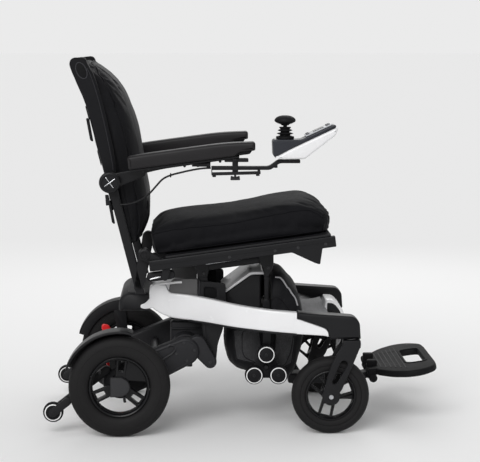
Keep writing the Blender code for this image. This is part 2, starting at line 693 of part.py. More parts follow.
def footrest():
    tube_x, tube_z, radius, wall = FRONT_TUBE_X, FRONT_TUBE_Z, FRONT_TUBE_RADIUS, HANGER_WALL
    bend_x, bend_z, foot_z = HANGER_BEND_X, HANGER_BEND_Z, BEAM_TOP_Z + GAP
    hanger = [(tube_x - 0.93 * radius, tube_z + 3 * radius), (tube_x + 0.8 * radius, tube_z + 2.8 * radius),
              (bend_x - wall, bend_z + 0.065), (bend_x - 0.005, bend_z + 0.037), (bend_x, bend_z),
              (bend_x - 0.002, bend_z - 0.040), (bend_x - 0.005, foot_z), (bend_x - 0.005 - wall, foot_z),
              (bend_x - 0.002 - wall, bend_z - 0.040), (bend_x - wall, bend_z),
              (bend_x - 0.004 - wall, bend_z + 0.031), (tube_x + 1.036 * radius, tube_z),
              (tube_x + 0.93 * radius, tube_z + 0.643 * radius),
              (tube_x + 0.46 * radius, tube_z + 1.057 * radius),
              (tube_x - 0.93 * radius, tube_z + 1.32 * radius)]
    keep_as_part(outline("footrest_hanger", [hanger], 0, HANGER_WIDTH), "white")
    beam = box("footrest_beam", (BEAM_REAR_X, -BEAM_WIDTH / 2, BEAM_TOP_Z - BEAM_HEIGHT),
               (BEAM_FRONT_X, BEAM_WIDTH / 2, BEAM_TOP_Z))
    pivot = (FOOT_PIVOT_X, FOOT_PIVOT_Z)
    knuckle = stadium((BEAM_FRONT_X - 0.01, FOOT_PIVOT_Z - 0.006), pivot, 0.009, 0.009)
    tongue = outline("beam_tongue", [knuckle], 0, FOOT_TONGUE_WIDTH)
    ear_inner = FOOT_TONGUE_WIDTH / 2 + GAP
    barrel_low = ear_inner + FOOT_EAR_WALL - UNION_STEP
    pin = cylinder("footplate_pin", (FOOT_PIVOT_X, 0, FOOT_PIVOT_Z), FOOT_PIN_RADIUS, 2 * (barrel_low - GAP))
    add(beam, tongue, pin)
    keep_as_part(beam, "black")
    rear, front = FOOT_PLATE_REAR_X, FOOT_PLATE_FRONT_X
    half, narrow = FOOT_PLATE_HALF, FOOT_PLATE_REAR_HALF
    wing = BEAM_WIDTH / 2 + FOOT_WING_GAP
    wing_rear = rear - FOOT_WING_LENGTH
    side = [(rear, 0.0), (rear, wing), (wing_rear, wing), (wing_rear, narrow - 0.014),
            (wing_rear + 0.004, narrow - 0.008), (rear, narrow + 0.010), (rear + 0.022, narrow + 0.029),
            (rear + 0.042, narrow + 0.053), (rear + 0.053, half - 0.008), (rear + 0.067, half),
            (front - 0.041, half), (front - 0.020, half - 0.010), (front - 0.008, half - 0.028),
            (front, half - 0.060)]
    edge = [(x, -y) for x, y in side] + [(x, y) for x, y in side[:0:-1]]
    hole_half, hole_rear, hole_front = narrow - 0.022, front - 0.071, front - 0.025
    hole = [(hole_rear, hole_half - 0.026), (hole_rear + 0.008, hole_half - 0.008),
            (hole_rear + 0.024, hole_half), (hole_front - 0.008, hole_half - 0.006),
            (hole_front, hole_half - 0.022)]
    hole = [(x, -y) for x, y in hole] + [(x, y) for x, y in hole[::-1]]
    plate_low = FOOT_PIVOT_Z + 0.0135
    plate = outline("footplate", [edge, hole], plate_low + FOOT_PLATE_WALL / 2, FOOT_PLATE_WALL, "XY")
    turn = Matrix.Translation((rear, 0, plate_low)) @ Matrix.Rotation(-FOOT_TILT, 4, "Y")
    plate.data.transform(turn @ Matrix.Translation((-rear, 0, -plate_low)))
    round_edges(plate, 0.003, 1)
    for way in (-1, 1):
        strap = stadium(pivot, (rear + 0.014, plate_low + 0.006), 0.009, 0.007, 6)
        hole = ring_points(*pivot, FOOT_PIN_RADIUS + RUNNING_GAP, 12)
        ear_middle = way * (ear_inner + FOOT_EAR_WALL / 2)
        add(plate, outline("footplate_ear", [strap, hole], ear_middle, FOOT_EAR_WALL))
        barrel_high = narrow - 0.012
        middle = (FOOT_PIVOT_X, way * (barrel_low + barrel_high) / 2, FOOT_PIVOT_Z + 0.004)
        add(plate, cylinder("hinge_barrel", middle, FOOT_BARREL_RADIUS, barrel_high - barrel_low))
        low, high = sorted((way * (wing + 0.002), way * (wing + 0.026)))
        stop_z = plate_low + 0.004
        add(plate, box("hinge_stop", (wing_rear + 0.001, low, stop_z),
                       (wing_rear + 0.028, high, stop_z + FOOT_STOP_HEIGHT)))
    keep_as_part(plate, "black", (FOOT_PIVOT_X, 0, FOOT_PIVOT_Z))


def drive_frame():
    for word, side in SIDES:
        axle, motor = (REAR_AXLE_X, REAR_RADIUS), (MOTOR_X, MOTOR_Z)
        fold = (FOLD_PIVOT_X, side * GEARBOX_INNER_Y, FOLD_PIVOT_Z)
        gear_wall = GEARBOX_OUTER_Y - GEARBOX_INNER_Y
        gearbox = outline(f"drive_unit_{word}", [stadium(axle, motor, GEARBOX_RADIUS, 0.036, 10)],
                          side * (GEARBOX_INNER_Y + gear_wall / 2), gear_wall)
        round_edges(gearbox, 0.004, 1)
        motor_length = GEARBOX_INNER_Y + 0.002 - MOTOR_INNER_Y
        body = cylinder("motor_body", (MOTOR_X, side * (MOTOR_INNER_Y + motor_length / 2), MOTOR_Z),
                        MOTOR_RADIUS, motor_length, steps=24)
        link_low = SUPPORT_INNER_Y + SUPPORT_WALL + GAP
        link_wall = GEARBOX_INNER_Y + 0.001 - link_low
        link = outline("fold_link", [stadium(motor, (FOLD_PIVOT_X, FOLD_PIVOT_Z), 0.026, 0.015)],
                       side * (link_low + link_wall / 2), link_wall)
        axle_length = REAR_WHEEL_Y - GEARBOX_OUTER_Y + 0.010
        axle_y = side * (GEARBOX_OUTER_Y - 0.010 + axle_length / 2)
        pin = cylinder("drive_axle", (REAR_AXLE_X, axle_y, REAR_RADIUS), AXLE_RADIUS, axle_length)
        hole = cylinder("fold_hole", (FOLD_PIVOT_X, side * (link_low + link_wall / 2), FOLD_PIVOT_Z),
                        FOLD_PIN_RADIUS + RUNNING_GAP, 0.06)
        low, high = sorted((side * MOTOR_COVER_INNER_Y, side * MOTOR_COVER_OUTER_Y))
        cover = box("motor_cover", (MOTOR_X - 0.040, low, MOTOR_Z - 0.020),
                    (MOTOR_X + 0.052, high, MOTOR_Z + 0.064))
        add(gearbox, body, link, pin, round_edges(cover, 0.008, 1))
        cut(gearbox, hole)
        keep_as_part(gearbox, "dark_metal", fold)
        arm_low = GEARBOX_OUTER_Y + GAP
        bar = stadium((ANTI_TIP_X, ANTI_TIP_Z), (REAR_AXLE_X - 0.035, REAR_RADIUS + 0.033), 0.010, 0.011)
        arm = outline(f"anti_tip_arm_{word}", [bar], side * (arm_low + ANTI_TIP_WALL / 2), ANTI_TIP_WALL)
        arm_outer = arm_low + ANTI_TIP_WALL
        stub = cylinder("anti_tip_pin", (ANTI_TIP_X, side * (arm_outer + 0.007), ANTI_TIP_Z),
                        ANTI_TIP_PIN_RADIUS, 0.018)
        add(arm, stub)
        keep_as_part(arm, "black", fold)
        wheel_low = arm_outer + GAP
        wheel_y = side * (wheel_low + ANTI_TIP_WHEEL_WIDTH / 2)
        wheel = cylinder(f"anti_tip_wheel_{word}", (ANTI_TIP_X, wheel_y, ANTI_TIP_Z), ANTI_TIP_RADIUS,
                         ANTI_TIP_WHEEL_WIDTH, steps=20)
        round_edges(wheel, 0.003, 1)
        cut(wheel, cylinder("anti_tip_bore", (ANTI_TIP_X, side * wheel_low, ANTI_TIP_Z),
                            ANTI_TIP_PIN_RADIUS + RUNNING_GAP, 0.08))
        keep_as_part(wheel, "black", (ANTI_TIP_X, side * wheel_low, ANTI_TIP_Z))
        fender_low = arm_outer + GAP
        width = REAR_WHEEL_Y + REAR_TYRE_WIDTH / 2 - fender_low
        start, end = math.radians(76), math.radians(161)
        band = shifted(sector(FENDER_RADIUS - FENDER_WALL, FENDER_RADIUS, start, end, 14), *axle)
        fender = outline(f"rear_fender_{word}", [band], side * (fender_low + width / 2), width)
        inner = shifted(sector(0.040, FENDER_RADIUS - FENDER_WALL / 2, start, end, 14), *axle)
        add(fender, outline("fender_side", [inner], side * (fender_low + 0.002), 0.004))
        keep_as_part(fender, "grey", fold)
        lever_low = GEARBOX_INNER_Y - GAP - 0.012
        arm = stadium((LEVER_X, LEVER_Z), (LEVER_X - 0.040, LEVER_Z + 0.056), 0.009, 0.007)
        lever = outline(f"freewheel_lever_{word}", [arm], side * (lever_low + 0.006), 0.012)
        keep_as_part(round_edges(lever, 0.002, 1), "red", (LEVER_X, side * lever_low, LEVER_Z))
    tube_reach = GEARBOX_INNER_Y - GAP
    cross = cylinder("drive_cross_tube", (DRIVE_TUBE_X, 0, DRIVE_TUBE_Z), DRIVE_TUBE_RADIUS, 2 * tube_reach)
    keep_as_part(cross, "dark_metal", (FOLD_PIVOT_X, 0, FOLD_PIVOT_Z))


def seat_frame():
    rail_middle = SEAT_RAIL_INNER_Y + SEAT_RAIL_WIDTH / 2
    long, high = SEAT_RAIL_LENGTH, SEAT_RAIL_HEIGHT
    latch_x, latch_z = LATCH_X, LATCH_Z
    for word, side in SIDES:
        shape = [seat_point(0, 0), seat_point(0.020, 0), (latch_x - 0.013, latch_z - 0.006),
                 (latch_x, latch_z - 0.014), (latch_x + 0.013, latch_z - 0.006), seat_point(0.058, 0),
                 seat_point(0.365, 0), seat_point(0.424, -0.037), seat_point(0.434, -0.040),
                 seat_point(0.443, 0), seat_point(long, 0),
                 seat_point(long + 0.003, 0.004), seat_point(long + 0.003, high - 0.004),
                 seat_point(long, high),
                 seat_point(0.020, high), (BACK_HINGE_X + 0.003, BACK_HINGE_Z + 0.012),
                 (BACK_HINGE_X - 0.009, BACK_HINGE_Z + 0.008), (BACK_HINGE_X - 0.012, BACK_HINGE_Z - 0.004)]
        rail = outline(f"seat_rail_{word}", [shape], side * rail_middle, SEAT_RAIL_WIDTH)
        pin_inner = BACK_POST_Y - BACK_POST_WIDTH / 2 - 0.003
        pin_length = SEAT_RAIL_INNER_Y + 0.004 - pin_inner
        hinge = cylinder("hinge_pin", (BACK_HINGE_X, side * (pin_inner + pin_length / 2), BACK_HINGE_Z),
                         HINGE_PIN_RADIUS, pin_length)
        latch_pin = cylinder("latch_pin", (latch_x, side * (pin_inner + 0.005 + pin_length / 2), latch_z),
                             LATCH_PIN_RADIUS, pin_length - 0.010)
        add(rail, hinge, latch_pin)
        keep_as_part(rail, "dark_metal")
        lever_outer = SEAT_RAIL_INNER_Y - GAP
        body = stadium((latch_x - 0.035, latch_z + 0.006), (latch_x + 0.018, latch_z - 0.019), 0.012, 0.014)
        hole = ring_points(latch_x, latch_z, LATCH_PIN_RADIUS + RUNNING_GAP, 12)
        lever = outline(f"latch_lever_{word}", [body, hole], side * (lever_outer - LEVER_WALL / 2),
                        LEVER_WALL)
        keep_as_part(lever, "black", (latch_x, side * lever_outer, latch_z))
    support = None
    inner = SUPPORT_INNER_Y
    reach = SEAT_RAIL_INNER_Y - GAP
    rear_x, front_x = SUPPORT_REAR_X, MID_TUBE_X
    rear_z = seat_height(rear_x) + SEAT_RAIL_HEIGHT / 2
    front_z = seat_height(front_x) + SEAT_RAIL_HEIGHT / 2
    for side in (-1, 1):
        middle = side * (inner + SUPPORT_WALL / 2)
        web_x = BATTERY_REAR_X - 0.002
        foot = FOLD_PIVOT_Z
        web = [(rear_x + 0.004, foot + 0.164), (FOLD_PIVOT_X + 0.004, foot + 0.012),
               (FOLD_PIVOT_X + 0.018, foot + 0.021), (FOLD_PIVOT_X + 0.030, foot + 0.044),
               (web_x, foot + 0.054), (web_x, foot + 0.124), (rear_x + 0.030, foot + 0.164)]
        straps = [stadium((rear_x, rear_z), (FOLD_PIVOT_X, FOLD_PIVOT_Z), 0.013, 0.019), web,
                  stadium((rear_x, rear_z - 0.034), (front_x, front_z - 0.034), 0.009, 0.009),
                  stadium((front_x, front_z), (front_x, MID_TUBE_Z + CROSS_TUBE_RADIUS + 0.0115), 0.012,
                          0.011)]
        for place, strap in enumerate(straps):
            piece = outline("support_strap", [strap], middle, SUPPORT_WALL - place * UNION_STEP)
            if support is None:
                support = piece
                support.name = "seat_support"
            else:
                add(support, piece)
        pin_low = inner + SUPPORT_WALL - 0.004
        pin_high = GEARBOX_INNER_Y + 0.001
        add(support, cylinder("fold_pin", (FOLD_PIVOT_X, side * (pin_low + pin_high) / 2, FOLD_PIVOT_Z),
                              FOLD_PIN_RADIUS, pin_high - pin_low))
    for x, z in ((rear_x, rear_z), (front_x, front_z)):
        add(support, cylinder("support_cross_bar", (x, 0, z), CROSS_BAR_RADIUS, 2 * reach))
    keep_as_part(support, "dark_metal")


def seat_height(x):
    """Height of the seat rail's underside at x."""
    return SEAT_REAR_Z + (x - SEAT_REAR_X) * math.tan(SEAT_PITCH)


def cage(cuts):
    """A cube from -1 to 1 whose faces are cut into a grid."""
    shape = bmesh.new()
    bmesh.ops.create_cube(shape, size=2.0)
    bmesh.ops.subdivide_edges(shape, edges=shape.edges, cuts=cuts, use_grid_fill=True)
    return shape


def between(points, value):
    """Straight reading of a curve given as rows of (place, value)."""
    if value <= points[0][0]:
        return points[0][1]
    for (a, first), (b, second) in zip(points, points[1:]):
        if value <= b:
            return first + (second - first) * (value - a) / (b - a)
    return points[-1][1]


# Height of the seat cushion's edge, by share of its length from the rear
SEAT_EDGE = ((0.0, 0.066), (0.17, 0.068), (0.48, 0.064), (0.69, 0.071), (0.87, 0.069), (0.94, 0.058),
             (1.0, 0.036))


def seat_pieces():
    base_low = SEAT_RAIL_HEIGHT + GAP
    start, end = 0.044, SEAT_RAIL_LENGTH - 0.010
    reach = SEAT_RAIL_INNER_Y + SEAT_RAIL_WIDTH
    base_top = base_low + SEAT_BASE_WALL
    corners = [seat_point(start, base_low), seat_point(end, base_low), seat_point(end, base_top),
               seat_point(start, base_top)]
    keep_as_part(outline("seat_base", [corners], 0, 2 * reach), "black")
    floor = base_top + GAP
    shape = cage(8)
    for vert in shape.verts:
        u, v, w = vert.co
        share, rise = (u + 1) / 2, (w + 1) / 2
        top = between(SEAT_EDGE, share) + SEAT_CROWN * (1 - u ** 6) * (1 - v ** 4)
        tuck = 0.014 * (1 - rise) ** 2 + 0.008 * max(0.0, rise - 0.6) ** 2 / 0.16
        drawn = 0.004 * (1 - u * u)
        half = SEAT_CUSHION_WIDTH / 2 - tuck - drawn
        corner = 0.018 * v ** 6
        rear = SEAT_CUSHION_START + 0.7 * tuck + 0.4 * corner
        front = SEAT_CUSHION_START + SEAT_CUSHION_LENGTH - 1.3 * tuck - corner
        edge = 1 - 0.12 * abs(v) ** 8 * max(0.0, rise - 0.5) * 2
        here = seat_point(rear + share * (front - rear), floor + rise * top * edge)
        vert.co = (here[0], v * half, here[1])
    keep_as_part(smooth(mesh_object("seat_cushion", shape)), "fabric")


# Thickness of the back cushion, by share of its height from the bottom
BACK_PAD = ((0.0, 0.040), (0.05, 0.052), (0.1475, 0.066), (0.234, 0.075), (0.323, 0.078), (0.43, 0.085),
            (0.534, 0.091), (0.614, 0.092), (0.688, 0.091), (0.80, 0.083), (0.894, 0.070), (0.961, 0.048),
            (1.0, 0.0215))


def back_pieces():
    top = BACK_TOP_Z
    foot = BACK_FOOT_Z - 0.016
    widest = top - BACK_SLEEVE_LENGTH
    flare = widest - 2 * BACK_SLEEVE_LENGTH
    low, high = BACK_POST_DEPTH / 2, BACK_SLEEVE_DEPTH / 2
    hinge = (BACK_HINGE_X, 0, BACK_HINGE_Z)
    frame = None
    for side in (-1, 1):
        middle = side * BACK_POST_Y
        shape = [(post_x(foot) - low, foot), (post_x(foot) + low, foot), (post_x(flare) + low, flare),
                 (post_x(widest) + high, widest), (post_x(top) + high - 0.004, top - 0.012),
                 (post_x(top) - high, top), (post_x(widest) - high, widest),
                 (post_x(flare) - low - 0.004, flare)]
        hole = ring_points(BACK_HINGE_X, BACK_HINGE_Z, HINGE_PIN_RADIUS + RUNNING_GAP, 12)
        post = outline("back_post", [shape], middle, BACK_POST_WIDTH)
        strap = stadium((BACK_HINGE_X, BACK_HINGE_Z), (post_x(0.474), 0.474), 0.014, 0.011)
        ear = outline("hinge_ear", [strap, hole], middle, BACK_POST_WIDTH - UNION_STEP)
        if frame is None:
            frame = post
            frame.name = "back_frame"
        else:
            add(frame, post)
        add(frame, ear)
    for z in (foot + 0.186, (foot + 0.186 + top - 0.055) / 2, top - 0.055):
        bar = (post_x(z) - BACK_BAR_RADIUS + 0.0017, 0, z)
        add(frame, cylinder("back_cross_bar", bar, BACK_BAR_RADIUS, 2 * BACK_POST_Y))
    keep_as_part(frame, "dark_metal", hinge)
    shape = cage(8)
    low_z, high_z = BACK_CUSHION_LOW_Z, top + BACK_CUSHION_RISE
    for vert in shape.verts:
        u, v, w = vert.co
        round_top = 0.030 * v ** 4 * max(0.0, u) ** 3
        z = low_z + (u + 1) / 2 * (high_z - low_z) - round_top
        depth = between(BACK_PAD, (z - low_z) / (high_z - low_z))
        rise = (w + 1) / 2
        crown = 0.80 + 0.20 * (1 - v ** 4)
        tuck = 0.010 * max(0.0, rise - 0.5) ** 2 / 0.25
        half = BACK_CUSHION_WIDTH / 2 - tuck - 0.006 * (1 - u * u)
        vert.co = (post_x(z) + BACK_PAD_GAP + depth * rise * crown, v * half, z)
    keep_as_part(smooth(mesh_object("back_cushion", shape)), "fabric", hinge)


def pad_bottom(x):
    return PAD_REAR_Z + (x - PAD_REAR_X - 0.019) * PAD_SLOPE


def armrests():
    outer = BACK_POST_Y + BACK_POST_WIDTH / 2
    for word, side in SIDES:
        plate_low = outer + GAP
        stem_length = ARM_WALL + 2 * GAP
        knob_low = plate_low + stem_length
        knob_y, stem_y = side * (knob_low + ARM_KNOB_WIDTH / 2), side * (plate_low + stem_length / 2 + 0.001)
        knob = cylinder(f"armrest_knob_{word}", (ARM_PIVOT_X, knob_y, ARM_PIVOT_Z), ARM_KNOB_RADIUS,
                        ARM_KNOB_WIDTH, steps=24)
        round_edges(knob, 0.003, 1)
        stem = cylinder("armrest_stem", (ARM_PIVOT_X, stem_y, ARM_PIVOT_Z), ARM_STEM_RADIUS,
                        stem_length + 0.002)
        add(knob, stem)
        pivot = (ARM_PIVOT_X, ARM_PIVOT_Z)
        axis = (ARM_PIVOT_X, side * plate_low, ARM_PIVOT_Z)
        keep_as_part(knob, "black", axis)
        rear, front = PAD_REAR_X + 0.010, PAD_FRONT_X - 0.040
        strap = [(rear, pad_bottom(rear) - 0.020), (rear + 0.080, pad_bottom(rear + 0.08) - 0.012),
                 (front, pad_bottom(front) - 0.010), (front, pad_bottom(front) - GAP),
                 (rear, pad_bottom(rear) - GAP)]
        wall_middle = side * (plate_low + ARM_WALL / 2)
        arm = outline(f"armrest_arm_{word}", [strap], wall_middle, ARM_WALL)
        hole = ring_points(*pivot, ARM_STEM_RADIUS + RUNNING_GAP, 16)
        strap = stadium(pivot, (rear + 0.024, pad_bottom(rear) - 0.012), 0.020, 0.0105)
        link = outline("armrest_link", [strap, hole], wall_middle, ARM_WALL - UNION_STEP)
        flange = [(rear, pad_bottom(rear) - GAP - ARM_FLANGE_WALL),
                  (front, pad_bottom(front) - GAP - ARM_FLANGE_WALL),
                  (front, pad_bottom(front) - GAP), (rear, pad_bottom(rear) - GAP)]
        flange_outer = PAD_Y + PAD_WIDTH / 2 - 0.008
        shelf = outline("armrest_flange", [flange], side * (plate_low + flange_outer) / 2,
                        flange_outer - plate_low)
        add(arm, link, shelf)
        keep_as_part(arm, "black", axis)
        high = PAD_HEIGHT
        recess = PAD_FRONT_X - PAD_RECESS_LENGTH
        pad = [(PAD_REAR_X + 0.004, pad_bottom(PAD_REAR_X + 0.004)), (recess, pad_bottom(recess)),
               (recess + 0.012, pad_bottom(recess) + 0.008), (PAD_FRONT_X, pad_bottom(PAD_FRONT_X) + 0.009),
               (PAD_FRONT_X, PAD_FRONT_Z + high), (PAD_REAR_X + 0.040, PAD_REAR_Z + high + 0.004),
               (PAD_REAR_X, PAD_REAR_Z + high - 0.003)]
        body = outline(f"armrest_pad_{word}", [pad], side * PAD_Y, PAD_WIDTH)
        keep_as_part(smooth(round_edges(body, 0.004, 2)), "black", axis)


def controller():
    y = CONTROLLER_Y
    top = BAR_BOTTOM_Z + BAR_HEIGHT
    rear, front = -0.030, 0.010
    flange_under = ARM_FLANGE_WALL + 2 * GAP
    block = [(rear, BAR_BOTTOM_Z - 0.009), (front - 0.026, BAR_BOTTOM_Z - 0.009),
             (front - 0.026, pad_bottom(front - 0.026) - flange_under),
             (rear, pad_bottom(rear) - flange_under)]
    clamp = outline("controller_clamp", [block], y, BAR_WIDTH + 0.014)
    channel = box("clamp_channel", (rear - 0.01, y - BAR_WIDTH / 2 - GAP, BAR_BOTTOM_Z - GAP),
                  (front + 0.01, y + BAR_WIDTH / 2 + GAP, top + GAP))
    bolt_x = (rear + front - 0.026) / 2
    bolt_hole = cylinder("bolt_hole", (bolt_x, y, BAR_BOTTOM_Z - 0.010), WING_BOLT_RADIUS + RUNNING_GAP,
                         0.022, "Z", 12)
    cut(clamp, channel, bolt_hole)
    arm_axis = (ARM_PIVOT_X, y, ARM_PIVOT_Z)
    keep_as_part(clamp, "black", arm_axis)
    wing = box("clamp_wing_bolt", (bolt_x - 0.012, y - 0.002, BAR_BOTTOM_Z - 0.026),
               (bolt_x + 0.012, y + 0.002, BAR_BOTTOM_Z - 0.014))
    shaft_top = BAR_BOTTOM_Z - GAP
    shaft = cylinder("wing_shaft", (bolt_x, y, shaft_top - 0.009), WING_BOLT_RADIUS, 0.018, "Z", 12)
    add(wing, shaft)
    keep_as_part(wing, "black", (bolt_x, y, shaft_top))
    x, z = CONTROLLER_REAR_X, CONTROLLER_LOW_Z
    shelf_top = z - GAP
    shelf_low = shelf_top - 0.0102
    bar = [(BAR_REAR_X, BAR_BOTTOM_Z), (x - 0.006, BAR_BOTTOM_Z), (x + 0.016, shelf_low),
           (x + 0.068, shelf_low), (x + 0.068, shelf_top), (x + 0.012, shelf_top), (x - 0.010, top),
           (BAR_REAR_X, top)]
    slide = (BAR_REAR_X, y, BAR_BOTTOM_Z)
    keep_as_part(outline("controller_bar", [bar], y, BAR_WIDTH), "black", slide)
    shell = [(x, z + 0.009), (x + 0.012, z), (x + 0.078, z), (x + 0.086, z + 0.008), (x + 0.156, z + 0.060),
             (x + 0.161, z + 0.077), (x + 0.155, z + 0.081), (x + 0.078, z + 0.039), (x, z + 0.030)]
    body = round_edges(outline("controller_shell", [shell], y, CONTROLLER_WIDTH), 0.004, 2)
    keep_as_part(smooth(body), "white", slide)
    deck = z + 0.0505
    panel = [(x, z + 0.0304), (x + 0.078, z + 0.0394), (x + 0.1545, z + 0.0813), (x + 0.149, z + 0.087),
             (x + 0.075, z + 0.058), (x + 0.059, deck), (x + 0.001, deck), (x - 0.002, z + 0.045)]
    keep_as_part(outline("controller_panel", [panel], y, CONTROLLER_WIDTH - 0.004), "black", slide)
    low = deck + GAP
    stem_bore = 0.0060
    ribs = [(stem_bore, 0.031), (0.012, 0.031), (0.014, 0.027), (0.0125, 0.024), (0.0175, 0.019),
            (0.015, 0.016), (BOOT_RADIUS - 0.002, 0.010), (0.0185, 0.007), (BOOT_RADIUS, 0.0),
            (stem_bore, 0.0)]
    boot = turned("joystick_boot", ribs, STICK_X, y, low, steps=16, closed=True)
    boot.rotation_euler = (0, 0, 0)
    stick = (STICK_X, y, low)
    keep_as_part(to_plain(boot), "black", stick)
    stem = stem_bore - 0.001
    cap = [(0.0, 0.059), (0.012, 0.058), (0.022, 0.054), (STICK_KNOB_RADIUS, 0.047),
           (STICK_KNOB_RADIUS - 0.0005, 0.042), (0.018, 0.038), (0.011, 0.036), (0.009, 0.0315),
           (stem, 0.0315), (stem, 0.004), (0.0, 0.004)]
    knob = turned("joystick_knob", cap, STICK_X, y, low, steps=16)
    knob.rotation_euler = (0, 0, 0)
    keep_as_part(smooth(to_plain(knob)), "black", stick)


CABLE_ROUTE = ((-0.0842, -0.2500, 0.6810), (-0.1050, -0.2500, 0.6800), (-0.1300, -0.2470, 0.6760),
               (-0.1600, -0.2420, 0.6690), (-0.1850, -0.2380, 0.6620), (-0.2050, -0.2350, 0.6520),
               (-0.2220, -0.2310, 0.6340), (-0.2380, -0.2270, 0.6160), (-0.2560, -0.2220, 0.6020),
               (-0.2760, -0.2150, 0.5920), (-0.2950, -0.2090, 0.5865), (-0.3130, -0.2051, 0.5850))


def smooth_route(points, steps):
    """Points on a smooth curve through the route."""
    rows = [Vector(p) for p in points]
    rows = [rows[0] * 2 - rows[1]] + rows + [rows[-1] * 2 - rows[-2]]
    result = []
    for a, b, c, d in zip(rows, rows[1:], rows[2:], rows[3:]):
        for k in range(steps):
            t = k / steps
            result.append(0.5 * ((2 * b) + (c - a) * t + (2 * a - 5 * b + 4 * c - d) * t * t
                                 + (3 * b - a - 3 * c + d) * t * t * t))
    return result + [rows[-2]]


def cable():
    line = tube("controller_cable", smooth_route(CABLE_ROUTE, 2), CABLE_RADIUS, 2)
    keep_as_part(line, "black", (ARM_PIVOT_X, CONTROLLER_Y, ARM_PIVOT_Z))


def build():
    clear_scene()
    rear_wheels()
    casters()
    side_rails()
    frame_tubes()
    transport_rollers()
    power_pieces()
    footrest()
    drive_frame()
    seat_frame()
    seat_pieces()
    back_pieces()
    armrests()
    controller()
    cable()


build()
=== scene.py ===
"""Looks of a folding power wheelchair, built around its packed frame.

Metres, +Z up, +X forward. The chair's right side, with the joystick, is towards -Y and nearest the camera.
"""
import bpy
import bmesh
import math
from bpy.props import FloatProperty, FloatVectorProperty, PointerProperty
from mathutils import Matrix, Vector, noise
from mathutils.kdtree import KDTree


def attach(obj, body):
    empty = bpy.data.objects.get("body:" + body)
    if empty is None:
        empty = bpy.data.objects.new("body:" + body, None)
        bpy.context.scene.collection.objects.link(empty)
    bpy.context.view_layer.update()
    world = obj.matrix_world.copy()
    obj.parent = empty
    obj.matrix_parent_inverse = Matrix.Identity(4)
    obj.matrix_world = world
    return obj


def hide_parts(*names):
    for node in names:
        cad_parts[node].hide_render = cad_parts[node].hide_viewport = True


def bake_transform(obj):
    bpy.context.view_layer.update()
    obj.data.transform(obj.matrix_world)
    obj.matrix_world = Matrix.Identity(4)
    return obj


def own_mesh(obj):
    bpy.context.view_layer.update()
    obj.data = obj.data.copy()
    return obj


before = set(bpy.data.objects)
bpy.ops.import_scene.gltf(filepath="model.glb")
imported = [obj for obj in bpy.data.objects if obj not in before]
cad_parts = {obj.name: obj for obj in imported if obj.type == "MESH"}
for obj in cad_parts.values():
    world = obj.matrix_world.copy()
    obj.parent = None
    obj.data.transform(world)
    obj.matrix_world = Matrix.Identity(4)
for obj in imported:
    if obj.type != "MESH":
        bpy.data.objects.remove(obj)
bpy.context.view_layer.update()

bl_info = {"name": "Folding Power Wheelchair", "version": (1, 0, 0), "blender": (4, 5, 0),
    "location": "3D View > Sidebar > Wheelchair",
    "description": "Finishes, cushions, bag and small trim of a folding power wheelchair", "category": "Object",}

# Camera and stage
CAMERA_PLACE = (-0.139, -4.28, 0.986)
CAMERA_TILT = math.radians(90 - 6.57)
CAMERA_TURN = math.radians(-1.82)
CAMERA_LENS = 120.75
FLOOR_SIZE = 400.0
FLOOR_COLOUR = (0.9, 0.9, 0.9, 1.0)
BACKDROP_COLOUR = (0.83, 0.83, 0.83, 1.0)
SKY_STRENGTH = 0.5
SUNS = (("key", (-1.2, -3.4, 3.0), 1.75, 40), ("back_sun", (0.8, 2.6, 3.4), 0.35, 50))
LAMPS = (("rim", (0.4, 2.8, 1.9), 1.6, 8),)


# Shared sizes
SIDES = (("right", -1), ("left", 1))
SEAT_PITCH = math.radians(7.5)
SEAT_REAR = (-0.239, 0.415)
REAR_AXLE = (-0.317, 0.129)
SEAT_HINGE = (-0.253, 0.456)
LATCH_PIN = (-0.201, 0.399)
ARM_PIVOT = (-0.339, 0.643)
CONTROLLER_Y = -0.25
JOYSTICK = (0.102, CONTROLLER_Y, 0.7538)
REAR_WHEEL_Y = 0.264
CASTER_AXLE = (0.22, 0.0995)
CASTER_Y = 0.246
ANTI_TIP_Y = 0.2398
TONGUE_BOLT = (-0.0865, 0.1755)


def seat_point(along, up):
    """A point of the seat's side view: along its rails from their rear end, and up from their underside."""
    x = SEAT_REAR[0] + along * math.cos(SEAT_PITCH) - up * math.sin(SEAT_PITCH)
    z = SEAT_REAR[1] + along * math.sin(SEAT_PITCH) + up * math.cos(SEAT_PITCH)
    return x, z


def mm(rows):
    """Rows of lengths given in millimetres, in metres."""
    return [tuple(round(value / 1000, 6) for value in row) for row in rows]


def at_side(spot, y):
    """A point of the side view, set at a distance across the chair."""
    return spot[0], y, spot[1]


def post_x(z):
    """The middle of a back post at a height."""
    return -0.268 - (z - 0.37) * 0.254


# Material nodes


def wire(tree, source, target):
    tree.links.new(source, target)


def node(tree, kind, place=None, **values):
    """A new node with its values; a place, where given, is wired to its Vector input."""
    item = tree.nodes.new(kind)
    for name, value in values.items():
        if name in item.inputs:
            item.inputs[name].default_value = value
        else:
            setattr(item, name, value)
    if place is not None:
        wire(tree, place, item.inputs["Vector"])
    return item


def ramp(tree, source, first, last):
    """The colours of a ramp between two stops of a position and a colour."""
    item = node(tree, "ShaderNodeValToRGB")
    for stop, (position, colour) in zip(item.color_ramp.elements, (first, last)):
        stop.position = position
        stop.color = colour
    wire(tree, source, item.inputs["Fac"])
    return item.outputs["Color"]


def shade(colour, factor):
    return tuple(channel * factor for channel in colour[:3]) + (1.0,)


